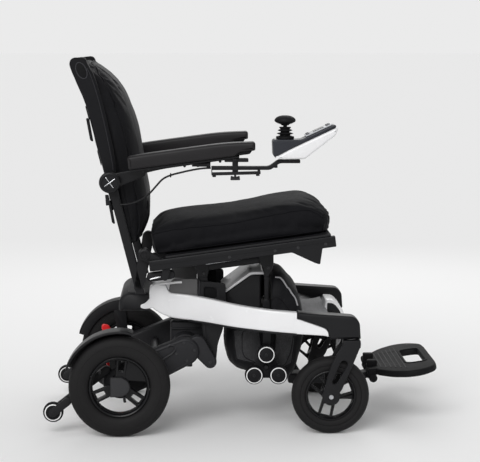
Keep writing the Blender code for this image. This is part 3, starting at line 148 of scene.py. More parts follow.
def start_material(name, colour, rough, metal=0.0, coat=0.0, sheen=0.0, specular=0.5, patchy=0.1):
    """A shader with faint patches of tone and of gloss, laid out by the object's own place."""
    material = bpy.data.materials.new(name)
    material.use_nodes = True
    material.diffuse_color = shade(colour, 1.0)
    tree = material.node_tree
    shader = tree.nodes["Principled BSDF"]
    for field, value in (("Metallic", metal), ("Coat Weight", coat), ("Coat Roughness", 0.12), ("Sheen Weight", sheen),
            ("Sheen Roughness", 0.4), ("Specular IOR Level", specular)):
        shader.inputs[field].default_value = value
    place = node(tree, "ShaderNodeTexCoord").outputs["Object"]
    patches = node(tree, "ShaderNodeTexNoise", place, Scale=7.0, Detail=5.0, Roughness=0.6)
    tone = ramp(tree, patches.outputs["Fac"], (0.3, shade(colour, 1.0 - patchy)), (0.72, shade(colour, 1.0 + patchy)))
    wire(tree, tone, shader.inputs["Base Color"])
    smears = node(tree, "ShaderNodeTexNoise", place, Scale=34.0, Detail=4.0, Roughness=0.65)
    gloss = node(tree, "ShaderNodeMapRange", **{"To Min": max(0.03, rough - 0.06), "To Max": min(1.0, rough + 0.08)})
    wire(tree, smears.outputs["Fac"], gloss.inputs["Value"])
    wire(tree, gloss.outputs["Result"], shader.inputs["Roughness"])
    return material, tree, shader, place


def add_bump(tree, shader, height, distance, strength=1.0):
    bump = node(tree, "ShaderNodeBump", Strength=strength, Distance=distance)
    wire(tree, height, bump.inputs["Height"])
    before = shader.inputs["Normal"].links
    if before:
        wire(tree, before[0].from_socket, bump.inputs["Normal"])
    wire(tree, bump.outputs["Normal"], shader.inputs["Normal"])


def painted(name, colour, rough=0.3, coat=0.3, metal=0.0, patchy=0.015):
    """Sprayed enamel: slightly uneven gloss and a faint orange peel."""
    material, tree, shader, place = start_material(name, colour, rough, metal, coat, patchy=patchy)
    peel = node(tree, "ShaderNodeTexNoise", place, Scale=420.0, Detail=2.0)
    add_bump(tree, shader, peel.outputs["Fac"], 0.00006, 0.5)
    return material


def moulded(name, colour, rough=0.48, grain=0.00012, metal=0.0, cell=1500.0, specular=0.35):
    """Moulded plastic or powder coat with a fine pebbled grain."""
    material, tree, shader, place = start_material(name, colour, rough, metal, specular=specular)
    pebbles = node(tree, "ShaderNodeTexVoronoi", place, Scale=cell, feature="SMOOTH_F1")
    add_bump(tree, shader, pebbles.outputs["Distance"], grain, 0.6)
    return material


def cast(name, colour, rough=0.45, metal=0.6):
    """Cast and blasted metal: fine pits over broad, soft unevenness."""
    material, tree, shader, place = start_material(name, colour, rough, metal, specular=0.3)
    pits = node(tree, "ShaderNodeTexNoise", place, Scale=650.0, Detail=6.0, Roughness=0.7)
    add_bump(tree, shader, pits.outputs["Fac"], 0.0002, 0.6)
    return material


def rubber(name, colour, rough=0.62, specular=0.25):
    """Tyre and grip rubber: matt, with a dusty bloom in broad patches."""
    material, tree, shader, place = start_material(name, colour, rough, specular=specular, patchy=0.14)
    grain = node(tree, "ShaderNodeTexNoise", place, Scale=900.0, Detail=3.0)
    add_bump(tree, shader, grain.outputs["Fac"], 0.00015, 0.6)
    return material


WAVE_SCALE = 1.0 / 6.2832


def woven(name, colour, thread=0.0009, rough=0.55, sheen=0.15, depth=0.00018, crease=0.0006, specular=0.3):
    """Coated cloth: a square weave of crossed waves, over soft creases."""
    material, tree, shader, place = start_material(name, colour, rough, sheen=sheen, specular=specular)
    waves = []
    for direction in ("X", "Y", "Z"):
        wave = node(tree, "ShaderNodeTexWave", place, Scale=WAVE_SCALE / thread, Distortion=0.6,
            bands_direction=direction)
        waves.append(wave.outputs["Fac"])
    first = node(tree, "ShaderNodeMath", operation="MULTIPLY")
    wire(tree, waves[0], first.inputs[0])
    wire(tree, waves[1], first.inputs[1])
    both = node(tree, "ShaderNodeMath", operation="ADD")
    wire(tree, first.outputs[0], both.inputs[0])
    wire(tree, waves[2], both.inputs[1])
    add_bump(tree, shader, both.outputs[0], depth, 0.45)
    folds = node(tree, "ShaderNodeTexNoise", place, Scale=26.0, Detail=6.0, Roughness=0.55, Distortion=1.2)
    add_bump(tree, shader, folds.outputs["Fac"], crease, 0.7)
    return material


def netting(name, colour, hole=0.0024, dark=0.1):
    """Open net: dark round holes in a paler thread."""
    material, tree, shader, place = start_material(name, colour, 0.6, sheen=0.1, specular=0.3)
    holes = node(tree, "ShaderNodeTexVoronoi", place, Scale=1.0 / hole, feature="DISTANCE_TO_EDGE")
    threads = ramp(tree, holes.outputs["Distance"], (0.1, shade(colour, 1.0)), (0.24, shade(colour, dark)))
    wire(tree, threads, shader.inputs["Base Color"])
    add_bump(tree, shader, holes.outputs["Distance"], 0.0006, 0.8)
    return material


def polished(name, colour, rough=0.12):
    """Plated metal with faint drawn streaks."""
    material, tree, shader, place = start_material(name, colour, rough, metal=1.0, patchy=0.03)
    streaks = node(tree, "ShaderNodeTexNoise", place, Scale=300.0, Detail=2.0, Distortion=3.0)
    add_bump(tree, shader, streaks.outputs["Fac"], 0.00003, 0.5)
    return material


FINISHES, SLOTS = {}, {}


def finish(make, name, slot, *values, **more):
    """Keep a finish, and the slot that its pieces take unless they name another."""
    FINISHES[name] = make(name, *values, **more)
    SLOTS[name] = slot


def make_finishes(colours):
    """Every finish of the chair, made once from the sidebar's colours."""
    black = tuple(colours.black)
    white = tuple(colours.white)
    cloth = tuple(colours.cloth)
    finish(moulded, "black_enamel", "dark_metal", shade(black, 0.85), 0.38, 0.00005, specular=0.2)
    finish(moulded, "satin_black", "dark_metal", shade(black, 0.75), 0.34, 0.00003, specular=0.2)
    finish(moulded, "gloss_black", "dark_metal", shade(black, 0.5), 0.22, 0.00002, specular=0.22)
    finish(moulded, "black_plastic", "black_plastic", shade(black, 0.9), 0.46, 0.00012, specular=0.2)
    # Matt black is the footplate's and tray's own colour, and also painted shade on the backs of the rail recesses and
    # in the sleeve openings.
    finish(moulded, "matt_black", "black_plastic", shade(black, 0.5), 0.62, 0.00012, specular=0.12)
    finish(painted, "white_enamel", "white_rail", white, 0.24, 0.35)
    finish(painted, "white_plastic", "white_rail", shade(white, 0.99), 0.32, 0.2)
    finish(moulded, "grey_plastic", "black_plastic", (0.026, 0.026, 0.029), 0.42, 0.00014, specular=0.2)
    finish(moulded, "hub_grey", "dark_metal", (0.024, 0.024, 0.026), 0.32, 0.00005, specular=0.3)
    finish(moulded, "panel_grey", "black_plastic", (0.2, 0.21, 0.23), 0.45, 0.00008)
    finish(cast, "silver_plate", "white_rail", (0.105, 0.104, 0.105), 0.45, 0.3)
    finish(cast, "cast_metal", "dark_metal", (0.014, 0.014, 0.016), 0.5, 0.2)
    finish(rubber, "tyre_rubber", "tyre", shade(tuple(colours.tyre), 0.8), 0.62, 0.16)
    finish(rubber, "soft_rubber", "black_plastic", shade(black, 0.7), 0.5, 0.12)
    finish(rubber, "arm_foam", "arm_pad", (0.014, 0.013, 0.014), 0.42, 0.22)
    finish(woven, "seat_cloth", "fabric", shade(cloth, 0.75), 0.0008, 0.66, 0.0, crease=0.0003, specular=0.07)
    finish(woven, "back_cloth", "fabric", shade(cloth, 0.75), 0.0008, 0.55, 0.0, crease=0.0003, specular=0.12)
    finish(woven, "sling_cloth", "fabric", shade(cloth, 0.7), 0.001, 0.55, 0.04, specular=0.15)
    finish(woven, "bag_cloth", "bag_fabric", shade(cloth, 0.7), 0.0012, 0.6, 0.04, 0.0003, 0.0008, 0.14)
    finish(netting, "bag_net", "bag_fabric", (0.04, 0.04, 0.043))
    finish(netting, "grey_net", "bag_fabric", (0.22, 0.22, 0.23), 0.002, 0.25)
    finish(woven, "thread", "fabric", shade(cloth, 2.6), 0.0006)
    # The bag piping's pale grey is its own colour and also a painted highlight along the bag's edge.
    finish(woven, "pale_piping", "bag_fabric", (0.34, 0.34, 0.35), 0.0008)
    finish(polished, "chrome", "dark_metal", (0.86, 0.87, 0.89))
    # Dull steel is the bolts' own finish, and also the colour of the painted highlight rods on the seat support's tie
    # bars.
    finish(polished, "dull_steel", "dark_metal", (0.52, 0.53, 0.55), 0.32)
    finish(painted, "white_ring", "white_rail", (0.78, 0.78, 0.78), 0.35, 0.2)
    finish(painted, "red_plastic", "red_plastic", tuple(colours.lever), 0.32, 0.3)
    finish(moulded, "button_grey", "black_plastic", (0.1, 0.1, 0.11), 0.4, 0.00003)
    finish(moulded, "navy_plastic", "black_plastic", (0.018, 0.02, 0.027), 0.35, 0.00004)
    finish(painted, "pale_plate", "grey_plastic", (0.42, 0.43, 0.45), 0.35, 0.2)
    finish(painted, "screen_black", "black_plastic", (0.008, 0.008, 0.01), 0.1, 0.6)
    finish(rubber, "cable_rubber", "cable_rubber", (0.01, 0.01, 0.011), 0.42)


# Modelling helpers


def active(item=None):
    """Select one object alone, or none."""
    for other in list(bpy.context.selected_objects):
        other.select_set(False)
    bpy.context.view_layer.objects.active = item
    if item:
        item.select_set(True)
    return item


def fresh(name):
    """The object that an operator has just added, named."""
    item = bpy.context.active_object
    item.name = name
    return item


def linked(name, data):
    """A new object of the scene."""
    item = bpy.data.objects.new(name, data)
    bpy.context.scene.collection.objects.link(item)
    return item


def apply_all(item):
    active(item)
    for modifier in list(item.modifiers):
        bpy.ops.object.modifier_apply(modifier=modifier.name)
    return item


def settle(item):
    """Put the object's place into its mesh, so the object itself sits at the origin."""
    active(item)
    bpy.ops.object.transform_apply(location=True, rotation=True, scale=True)
    return item


def face_out(item):
    active(item)
    bpy.ops.object.mode_set(mode="EDIT")
    bpy.ops.mesh.select_all(action="SELECT")
    bpy.ops.mesh.remove_doubles(threshold=0.00001)
    bpy.ops.mesh.normals_make_consistent(inside=False)
    bpy.ops.object.mode_set(mode="OBJECT")
    return item


def shade_soft(item, angle=35.0):
    active(item)
    bpy.ops.object.shade_smooth_by_angle(angle=math.radians(angle))
    return item


def bevelled(item, width, segments=2, angle=35.0):
    modifier = item.modifiers.new("soft_edges", "BEVEL")
    modifier.width = width
    modifier.segments = segments
    modifier.limit_method = "ANGLE"
    modifier.angle_limit = math.radians(angle)
    return apply_all(item)


def hand_over(item, body, finish, replaces=()):
    """Give a finished piece its finish, its body, its slot and, where it stands for CAD nodes, their place."""
    item.data.materials.clear()
    item.data.materials.append(FINISHES[finish])
    if body:
        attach(item, body)
    if replaces:
        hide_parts(*replaces)
    return item


def block(name, low, high, edge=0.0, segments=2):
    """A bar or plate between two corners in any order, with rounded edges."""
    active()
    middle = [(a + b) / 2 for a, b in zip(low, high)]
    bpy.ops.mesh.primitive_cube_add(size=1.0, location=middle)
    item = fresh(name)
    item.scale = [abs(b - a) for a, b in zip(low, high)]
    settle(item)
    if edge:
        bevelled(item, edge, segments)
    return shade_soft(item)


def rod(name, start, end, radius, sides=20, edge=0.0):
    """A round bar between two points."""
    active()
    first, last = Vector(start), Vector(end)
    way = last - first
    bpy.ops.mesh.primitive_cylinder_add(vertices=sides, radius=radius, depth=way.length, location=(first + last) / 2,
        rotation=way.to_track_quat("Z", "Y").to_euler())
    item = fresh(name)
    settle(item)
    if edge:
        bevelled(item, edge, 2, 50.0)
    return shade_soft(item, 40.0)


AXIS_TURNS = {"X": (0, math.pi / 2, 0), "Y": (math.pi / 2, 0, 0), "Z": (0, 0, 0)}


def ring(name, centre, radius, thickness, axis="Y", around=48, across=10):
    """A round ring that turns about an axis."""
    active()
    bpy.ops.mesh.primitive_torus_add(major_radius=radius, minor_radius=thickness, major_segments=around,
        minor_segments=across, location=centre, rotation=AXIS_TURNS[axis])
    item = fresh(name)
    settle(item)
    return shade_soft(item, 60.0)


def smooth_line(points, steps=6, closed=False):
    """Points of a smooth curve through the given ones."""
    count = len(points)
    found = []
    for i in range(count if closed else count - 1):
        if closed:
            picks = [points[(i + k - 1) % count] for k in range(4)]
        else:
            picks = [points[max(0, min(count - 1, i + k - 1))] for k in range(4)]
        a, b, c, d = [Vector(p) for p in picks]
        for s in range(steps):
            t = s / steps
            found.append(0.5 * ((2 * b) + (c - a) * t + (2 * a - 5 * b + 4 * c - d) * t * t
                + (3 * b - a - 3 * c + d) * t ** 3))
    if not closed:
        found.append(Vector(points[-1]))
    return found


def cord_mesh(name, points, radius, closed=False, resolution=3):
    """A round tube along points, made a mesh."""
    curve = bpy.data.curves.new(name, "CURVE")
    curve.dimensions = "3D"
    curve.bevel_depth = radius
    curve.bevel_resolution = resolution
    curve.use_fill_caps = not closed
    line = curve.splines.new("POLY")
    line.points.add(len(points) - 1)
    for spot, point in zip(line.points, points):
        spot.co = (*point, 1.0)
    line.use_cyclic_u = closed
    active(linked(name, curve))
    bpy.ops.object.convert(target="MESH")
    item = bpy.context.active_object
    face_out(item)
    return shade_soft(item, 50.0)


def grid_cube(name, cuts):
    """A cube from -1 to 1 with each side cut into a grid."""
    active()
    bpy.ops.mesh.primitive_cube_add(size=2.0)
    item = fresh(name)
    bpy.ops.object.mode_set(mode="EDIT")
    bpy.ops.mesh.select_all(action="SELECT")
    bpy.ops.mesh.subdivide(number_cuts=cuts)
    bpy.ops.object.mode_set(mode="OBJECT")
    return item


def between(points, value):
    """Straight reading of a curve given as rows of (place, value)."""
    if value <= points[0][0]:
        return points[0][1]
    for (a, first), (b, second) in zip(points, points[1:]):
        if value <= b:
            return first + (second - first) * (value - a) / (b - a)
    return points[-1][1]


def puff(item, voxel, cap, stays, pressure=4.0):
    """Blow the cover up as cloth, no point further than cap from where it was, and keep the result."""
    modifier = item.modifiers.new("even_cloth", "REMESH")
    modifier.mode = "VOXEL"
    modifier.voxel_size = voxel
    apply_all(item)
    start = [vert.co.copy() for vert in item.data.vertices]
    held = item.vertex_groups.new(name="held")
    held.add([vert.index for vert in item.data.vertices if stays(vert.co)], 1.0, "REPLACE")
    cloth = item.modifiers.new("air", "CLOTH")
    cloth.settings.quality = 4
    cloth.settings.mass = 0.25
    cloth.settings.tension_stiffness = 12
    cloth.settings.compression_stiffness = 12
    cloth.settings.bending_stiffness = 0.6
    cloth.settings.use_pressure = True
    cloth.settings.uniform_pressure_force = pressure
    cloth.settings.vertex_group_mass = "held"
    cloth.settings.effector_weights.gravity = 0
    cloth.point_cache.frame_start = 1
    cloth.point_cache.frame_end = 20
    for step in range(1, 21):
        bpy.context.scene.frame_set(step)
    blown = item.evaluated_get(bpy.context.evaluated_depsgraph_get()).to_mesh()
    places = [vert.co.copy() for vert in blown.vertices]
    item.modifiers.remove(cloth)
    bpy.context.scene.frame_set(1)
    for vert, first, last in zip(item.data.vertices, start, places):
        move = last - first
        vert.co = first + move * min(1.0, cap / max(move.length, 1e-9))
    divide = item.modifiers.new("fine_cloth", "SUBSURF")
    divide.levels = 1
    divide.render_levels = 1
    apply_all(item)
    return item


def sew(item, line, depth, width, reach=0.02):
    """Pull the cover in along a sewn line."""
    tree = KDTree(len(line))
    for i, spot in enumerate(line):
        tree.insert(spot, i)
    tree.balance()
    item.data.update()
    normals = [vert.normal.copy() for vert in item.data.vertices]
    for vert, normal in zip(item.data.vertices, normals):
        _, _, distance = tree.find(vert.co)
        if distance < reach:
            vert.co -= normal * depth * math.exp(-(distance / width) ** 2)


def on_surface(item, points, lift):
    """The points moved to just above the nearest part of a surface."""
    found = []
    for point in points:
        _, place, normal, _ = item.closest_point_on_mesh(Vector(point))
        found.append(place + normal * lift)
    return found


def rounded(corners, reach, steps=5):
    """A closed outline with its corners rounded; a corner may carry its own reach as a third value."""
    found = []
    count = len(corners)
    for i, corner in enumerate(corners):
        here = Vector(corner[:2])
        wanted = corner[2] if len(corner) > 2 else reach
        before = Vector(corners[i - 1][:2]) - here
        after = Vector(corners[(i + 1) % count][:2]) - here
        cut = min(wanted, 0.48 * before.length, 0.48 * after.length)
        if cut < 0.0003:
            found.append((here.x, here.y))
            continue
        first, last = here + before.normalized() * cut, here + after.normalized() * cut
        for k in range(steps + 1):
            t = k / steps
            spot = first * (1 - t) ** 2 + here * 2 * t * (1 - t) + last * t * t
            found.append((spot.x, spot.y))
    return found


def oblong(left, right, low, high):
    """The corners of a rectangle."""
    return [(left, low), (right, low), (right, high), (left, high)]


def polar(radius, angle, centre=(0.0, 0.0)):
    return centre[0] + radius * math.cos(angle), centre[1] + radius * math.sin(angle)


def circle(centre, radius, steps=32, start=0.0, turn=2 * math.pi):
    """Points round a circle, or along an arc of it with both ends."""
    whole = abs(turn - 2 * math.pi) < 1e-6
    return [polar(radius, start + turn * k / steps, centre) for k in range(steps if whole else steps + 1)]


def capsule(first, last, first_radius, last_radius, steps=10):
    """The outline of a bar with round ends of two radii."""
    way = Vector(last) - Vector(first)
    turn = math.atan2(way.y, way.x)
    lean = math.acos(max(-1.0, min(1.0, (first_radius - last_radius) / way.length)))
    return (circle(first, first_radius, steps, turn + lean, 2 * math.pi - 2 * lean) + circle(last, last_radius, steps,
        turn - lean, 2 * lean))


def wound(loop, way):
    """The loop running left about (way 1) or right about (way -1)."""
    area = sum(a[0] * b[1] - b[0] * a[1] for a, b in zip(loop, loop[1:] + loop[:1]))
    return loop if area * way > 0 else loop[::-1]


def plate(name, loops, middle, wall, edge=0.0, axis="Y"):
    """A flat piece square to an axis, cut along closed outlines, the first one outside, with rounded rims."""
    edge = min(edge, wall / 2 - 0.0001)
    curve = bpy.data.curves.new(name, "CURVE")
    curve.dimensions = "2D"
    curve.fill_mode = "BOTH"
    curve.extrude = wall / 2 - edge
    curve.bevel_depth = edge
    curve.bevel_resolution = 2
    curve.offset = -edge
    for place, loop in enumerate(loops):
        loop = wound(list(loop), -1 if place else 1)
        line = curve.splines.new("POLY")
        line.points.add(len(loop) - 1)
        for spot, (u, v) in zip(line.points, loop):
            spot.co = (u, v, 0.0, 1.0)
        line.use_cyclic_u = True
    active(linked(name, curve))
    bpy.ops.object.convert(target="MESH")
    item = bpy.context.active_object
    item.rotation_euler = AXIS_TURNS[axis]
    item.location = (0, middle, 0) if axis == "Y" else (0, 0, middle)
    face_out(settle(item))
    return shade_soft(item, 40.0)


def slab(name, corners, reach, steps, middle, wall, edge=0.0):
    """A plate square to Y, cut along one outline with rounded corners."""
    return plate(name, [rounded(corners, reach, steps)], middle, wall, edge)


def turned(name, profile, centre, axis="Y", steps=64):
    """A profile of radius and height spun about an axis; one that starts on the axis is left open along it."""
    active()
    bpy.ops.mesh.primitive_circle_add(vertices=len(profile), radius=0.01, fill_type="NOTHING")
    item = fresh(name)
    for vert, (radius, height) in zip(item.data.vertices, profile):
        vert.co = (radius, 0.0, height)
    bpy.ops.object.mode_set(mode="EDIT")
    shape = bmesh.from_edit_mesh(item.data)
    if not profile[0][0]:
        shape.verts.ensure_lookup_table()
        last = {shape.verts[0], shape.verts[len(profile) - 1]}
        for line in [line for line in shape.edges if set(line.verts) == last]:
            shape.edges.remove(line)
        bmesh.update_edit_mesh(item.data)
    bpy.ops.mesh.select_all(action="SELECT")
    bpy.ops.mesh.spin(steps=steps, angle=2 * math.pi, center=(0, 0, 0), axis=(0, 0, 1))
    bpy.ops.object.mode_set(mode="OBJECT")
    item.rotation_euler = AXIS_TURNS[axis]
    item.location = centre
    face_out(settle(item))
    return shade_soft(item, 40.0)


def skin(name, rows, soft=50.0):
    """A closed body over a row of closed sections with equal numbers of points."""
    count = len(rows[0])
    faces = [tuple(range(count)), tuple((len(rows) - 1) * count + k for k in range(count))]
    for r in range(len(rows) - 1):
        for k in range(count):
            n = (k + 1) % count
            faces.append((r * count + k, r * count + n, (r + 1) * count + n, (r + 1) * count + k))
    mesh = bpy.data.meshes.new(name)
    mesh.from_pydata([tuple(spot) for row in rows for spot in row], [], faces)
    return shade_soft(face_out(linked(name, mesh)), soft)


def welded(name, *items):
    """Several closed shells kept as one piece."""
    active(items[0])
    for item in items[1:]:
        item.select_set(True)
    if len(items) > 1:
        bpy.ops.object.join()
    items[0].name = name
    return items[0]


def screws(name, places, radius, side, height=0.002):
    """Round screw heads with a hexagon socket, facing out along Y."""
    heads = []
    for x, y, z in places:
        profile = [(0.0, height * 0.55), (radius * 0.45, height * 0.55), (radius * 0.5, height), (radius * 0.8, height),
            (radius, height * 0.55), (radius, -0.001), (0.0, -0.001)]
        heads.append(turned(name, [(r, -side * h) for r, h in profile], (x, y, z), "Y", 12))
    return welded(name, *heads)


# Cushions

SEAT_FLOOR = 0.0352
SEAT_START = 0.006
SEAT_LENGTH = 0.477
SEAT_HALF = 0.199
SEAT_EDGE = ((0.0, 0.058), (0.08, 0.063), (0.17, 0.065), (0.32, 0.062), (0.48, 0.061), (0.6, 0.065), (0.69, 0.068),
    (0.8, 0.069), (0.87, 0.069), (0.94, 0.062), (0.975, 0.054), (1.0, 0.044))


def size_of(name):
    """A size from the sidebar, to the nearest hundredth of a millimetre."""
    return round(getattr(bpy.context.scene.chair_sizes, name), 5)


def square_walk(steps):
    """Places round the rim of a square from -1 to 1."""
    for i in range(steps):
        t = 4.0 * i / steps
        side, along = int(t), 2 * (t - int(t)) - 1
        yield ((along, -1.0), (1.0, along), (-along, 1.0), (-1.0, -along))[side]


def seat_spot(u, v, w):
    """The seat cushion's cover: u runs forward, v to the left, w up, each from -1 to 1."""
    rise = (w + 1) / 2
    edge = between(SEAT_EDGE, (u + 1) / 2)
    top = edge + size_of("seat_crown") * (1 - u ** 8) * (1 - v ** 4)
    tuck = 0.012 * (1 - rise) ** 2
    bulge = 0.006 * (1 - w * w)
    half = SEAT_HALF - tuck + bulge
    corner = (0.024 if u > 0 else 0.012) * abs(v) ** 7
    first = SEAT_START + tuck + corner * 0.6 - bulge * 0.4
    last = SEAT_START + SEAT_LENGTH - 1.2 * tuck - corner + bulge
    x, z = seat_point(first + (u + 1) / 2 * (last - first), SEAT_FLOOR + rise * top)
    return Vector((x, v * half * (1 - 0.035 * abs(u) ** 8), z))


def wrinkle(item, amount, size, stretch, keep_out):
    """Soft creases that run mostly one way."""
    item.data.update()
    normals = [vert.normal.copy() for vert in item.data.vertices]
    for vert, normal in zip(item.data.vertices, normals):
        share = keep_out(vert.co, normal)
        if share > 0:
            spot = Vector([c * s for c, s in zip(vert.co, stretch)]) / size
            height = noise.noise(spot) + 0.5 * noise.noise(spot * 2.3 + Vector((7.1, 3.3, 1.7)))
            vert.co += normal * height * amount * share


def hem(name, item, line, radius, lift=0.0006):
    """A piping cord sewn into a seam."""
    spots = on_surface(item, line, lift)
    return cord_mesh(name, smooth_line(spots, 2, closed=True), radius, closed=True)


def make_seat_cushion():
    cushion = grid_cube("seat_cushion_cover", 26)
    for vert in cushion.data.vertices:
        vert.co = seat_spot(*vert.co)
    face_out(cushion)
    floor = seat_point(0.2, SEAT_FLOOR)
    up = Vector((-math.sin(SEAT_PITCH), 0, math.cos(SEAT_PITCH)))
    base = Vector((floor[0], 0, floor[1]))

    def height(spot):
        return (spot - base).dot(up)

    puff(cushion, 0.0055, 0.008, lambda spot: height(spot) < 0.004)
    seam = [seat_spot(u, v, 1.0) for u, v in square_walk(160)]
    fine = smooth_line(seam, 4, closed=True)
    sew(cushion, fine, 0.0045, 0.0055)

    def side_share(spot, normal):
        return max(0.0, 1 - abs(normal.dot(up)) * 1.6) * min(1.0, max(0.0, height(spot) / 0.02))

    wrinkle(cushion, 0.003, 0.034, (1.0, 1.0, 0.45), side_share)

    def top_share(spot, normal):
        return max(0.0, normal.dot(up)) ** 2

    wrinkle(cushion, 0.0014, 0.075, (1.0, 0.55, 1.0), top_share)
    for vert in cushion.data.vertices:
        sunk = height(vert.co)
        if sunk < 0.0:
            vert.co -= up * sunk
    shade_soft(cushion, 70.0)
    piping = hem("seat_cushion_piping", cushion, seam, size_of("seat_piping"))
    lower = [seat_spot(u, v, -0.8) for u, v in square_walk(160)]
    stitch = hem("seat_cushion_lower_seam", cushion, lower, 0.0012, 0.0)
    for item in (cushion, piping, stitch):
        hand_over(item, "frame", "seat_cloth", ("seat_cushion",) if item is cushion else ())
        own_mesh(item)


BACK_LOW = 0.487
BACK_HIGH = 0.951
BACK_HALF = 0.172
BACK_FRONT = mm([(487, -256), (515, -250.5), (560, -250), (600, -252), (641, -259), (690, -266), (738, -273),
    (775, -281), (809, -292), (861, -313), (904, -337), (935, -365), (953, -392)])


def back_spot(u, v, w):
    """The back cushion's cover: u runs up, v to the left, w forward, each from -1 to 1."""
    z = BACK_LOW + (u + 1) / 2 * (BACK_HIGH - BACK_LOW)
    z -= 0.034 * abs(v) ** 4 * max(0.0, u) ** 3 + 0.008 * abs(v) ** 6 * max(0.0, -u) ** 3
    rear = post_x(z) + 0.003
    depth = between(BACK_FRONT, z) - rear
    rise = (w + 1) / 2
    crown = 0.76 + 0.24 * (1 - v ** 4)
    bulge = 0.006 * (1 - w * w)
    half = BACK_HALF + bulge - 0.01 * max(0.0, rise - 0.5) ** 2 / 0.25
    return Vector((rear + depth * rise * crown, v * half * (1 - 0.03 * max(0.0, u) ** 8), z))


def make_back_cushion():
    cushion = grid_cube("back_cushion_cover", 26)
    for vert in cushion.data.vertices:
        vert.co = back_spot(*vert.co)
    face_out(cushion)

    def off_post(spot):
        return spot.x - post_x(spot.z)

    puff(cushion, 0.0055, 0.008, lambda spot: off_post(spot) < 0.008)
    seam = [back_spot(u, v, 1.0) for u, v in square_walk(160)]
    sew(cushion, smooth_line(seam, 4, closed=True), 0.0045, 0.006)
    side = [back_spot(u, v, -0.15) for u, v in square_walk(160)]
    sew(cushion, smooth_line(side, 4, closed=True), 0.0025, 0.004)
    channels = []
    for way in (-1, 1):
        channel = [back_spot(-0.92 + 1.84 * i / 40, way * (0.56 + 0.1 * math.sin(math.pi * i / 40)), 1.0)
            for i in range(41)]
        channels.append(channel)
        sew(cushion, smooth_line(channel, 4), 0.004, 0.006)

    def front_share(spot, normal):
        return max(0.0, normal.x) ** 2

    wrinkle(cushion, 0.0024, 0.06, (1.0, 0.8, 0.5), front_share)

    def side_share(spot, normal):
        return max(0.0, 1 - abs(normal.x) * 1.6) * min(1.0, max(0.0, off_post(spot) / 0.02))

    wrinkle(cushion, 0.0026, 0.04, (1.0, 1.0, 0.4), side_share)
    for vert in cushion.data.vertices:
        behind = off_post(vert.co) - 0.003
        if behind < 0.0:
            vert.co.x -= behind
    shade_soft(cushion, 70.0)
    piping = hem("back_cushion_piping", cushion, seam, size_of("back_piping"))
    stitch = hem("back_cushion_side_seam", cushion, side, 0.001, 0.0002)
    for item in (cushion, piping, stitch):
        hand_over(item, "backrest", "back_cloth", ("back_cushion",) if item is cushion else ())
        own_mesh(item)


# Wheels


def mirrored(profile):
    """A profile of radius and height with its copy at the other side."""
    return profile + [(r, -h) for r, h in reversed(profile)]


def spoked(centre, hub, rim, angles, hub_half, rim_half, slot_half, slot_in, slot_out):
    """Outlines of a spoked disc: its rim, the windows between the spokes and the slot in each spoke."""
    loops = [circle(centre, rim + 0.0015, 96)]
    for place, angle in enumerate(angles):
        following = angles[(place + 1) % len(angles)]
        if following <= angle:
            following += 2 * math.pi
        window = []
        for radius, half, backwards in ((hub, hub_half, False), (rim, rim_half, True)):
            lean = math.asin(min(1.0, half / radius))
            first, last = angle + lean, following - lean
            if last <= first:
                first = last = (angle + following) / 2
            steps = 22 if backwards else 8
            arc = [polar(radius, first + (last - first) * k / steps, centre) for k in range(steps + 1)]
            window += arc[::-1] if backwards else arc
        loops.append(window)
        along = Vector((math.cos(angle), math.sin(angle)))
        across = Vector((-along.y, along.x))
        middle = Vector(centre)
        slot = [middle + along * r + across * w for r, w in ((slot_in, -slot_half * 0.8), (slot_out, -slot_half),
            (slot_out, slot_half), (slot_in, slot_half * 0.8))]
        loops.append(rounded([(p.x, p.y) for p in slot], 0.003))
    return loops


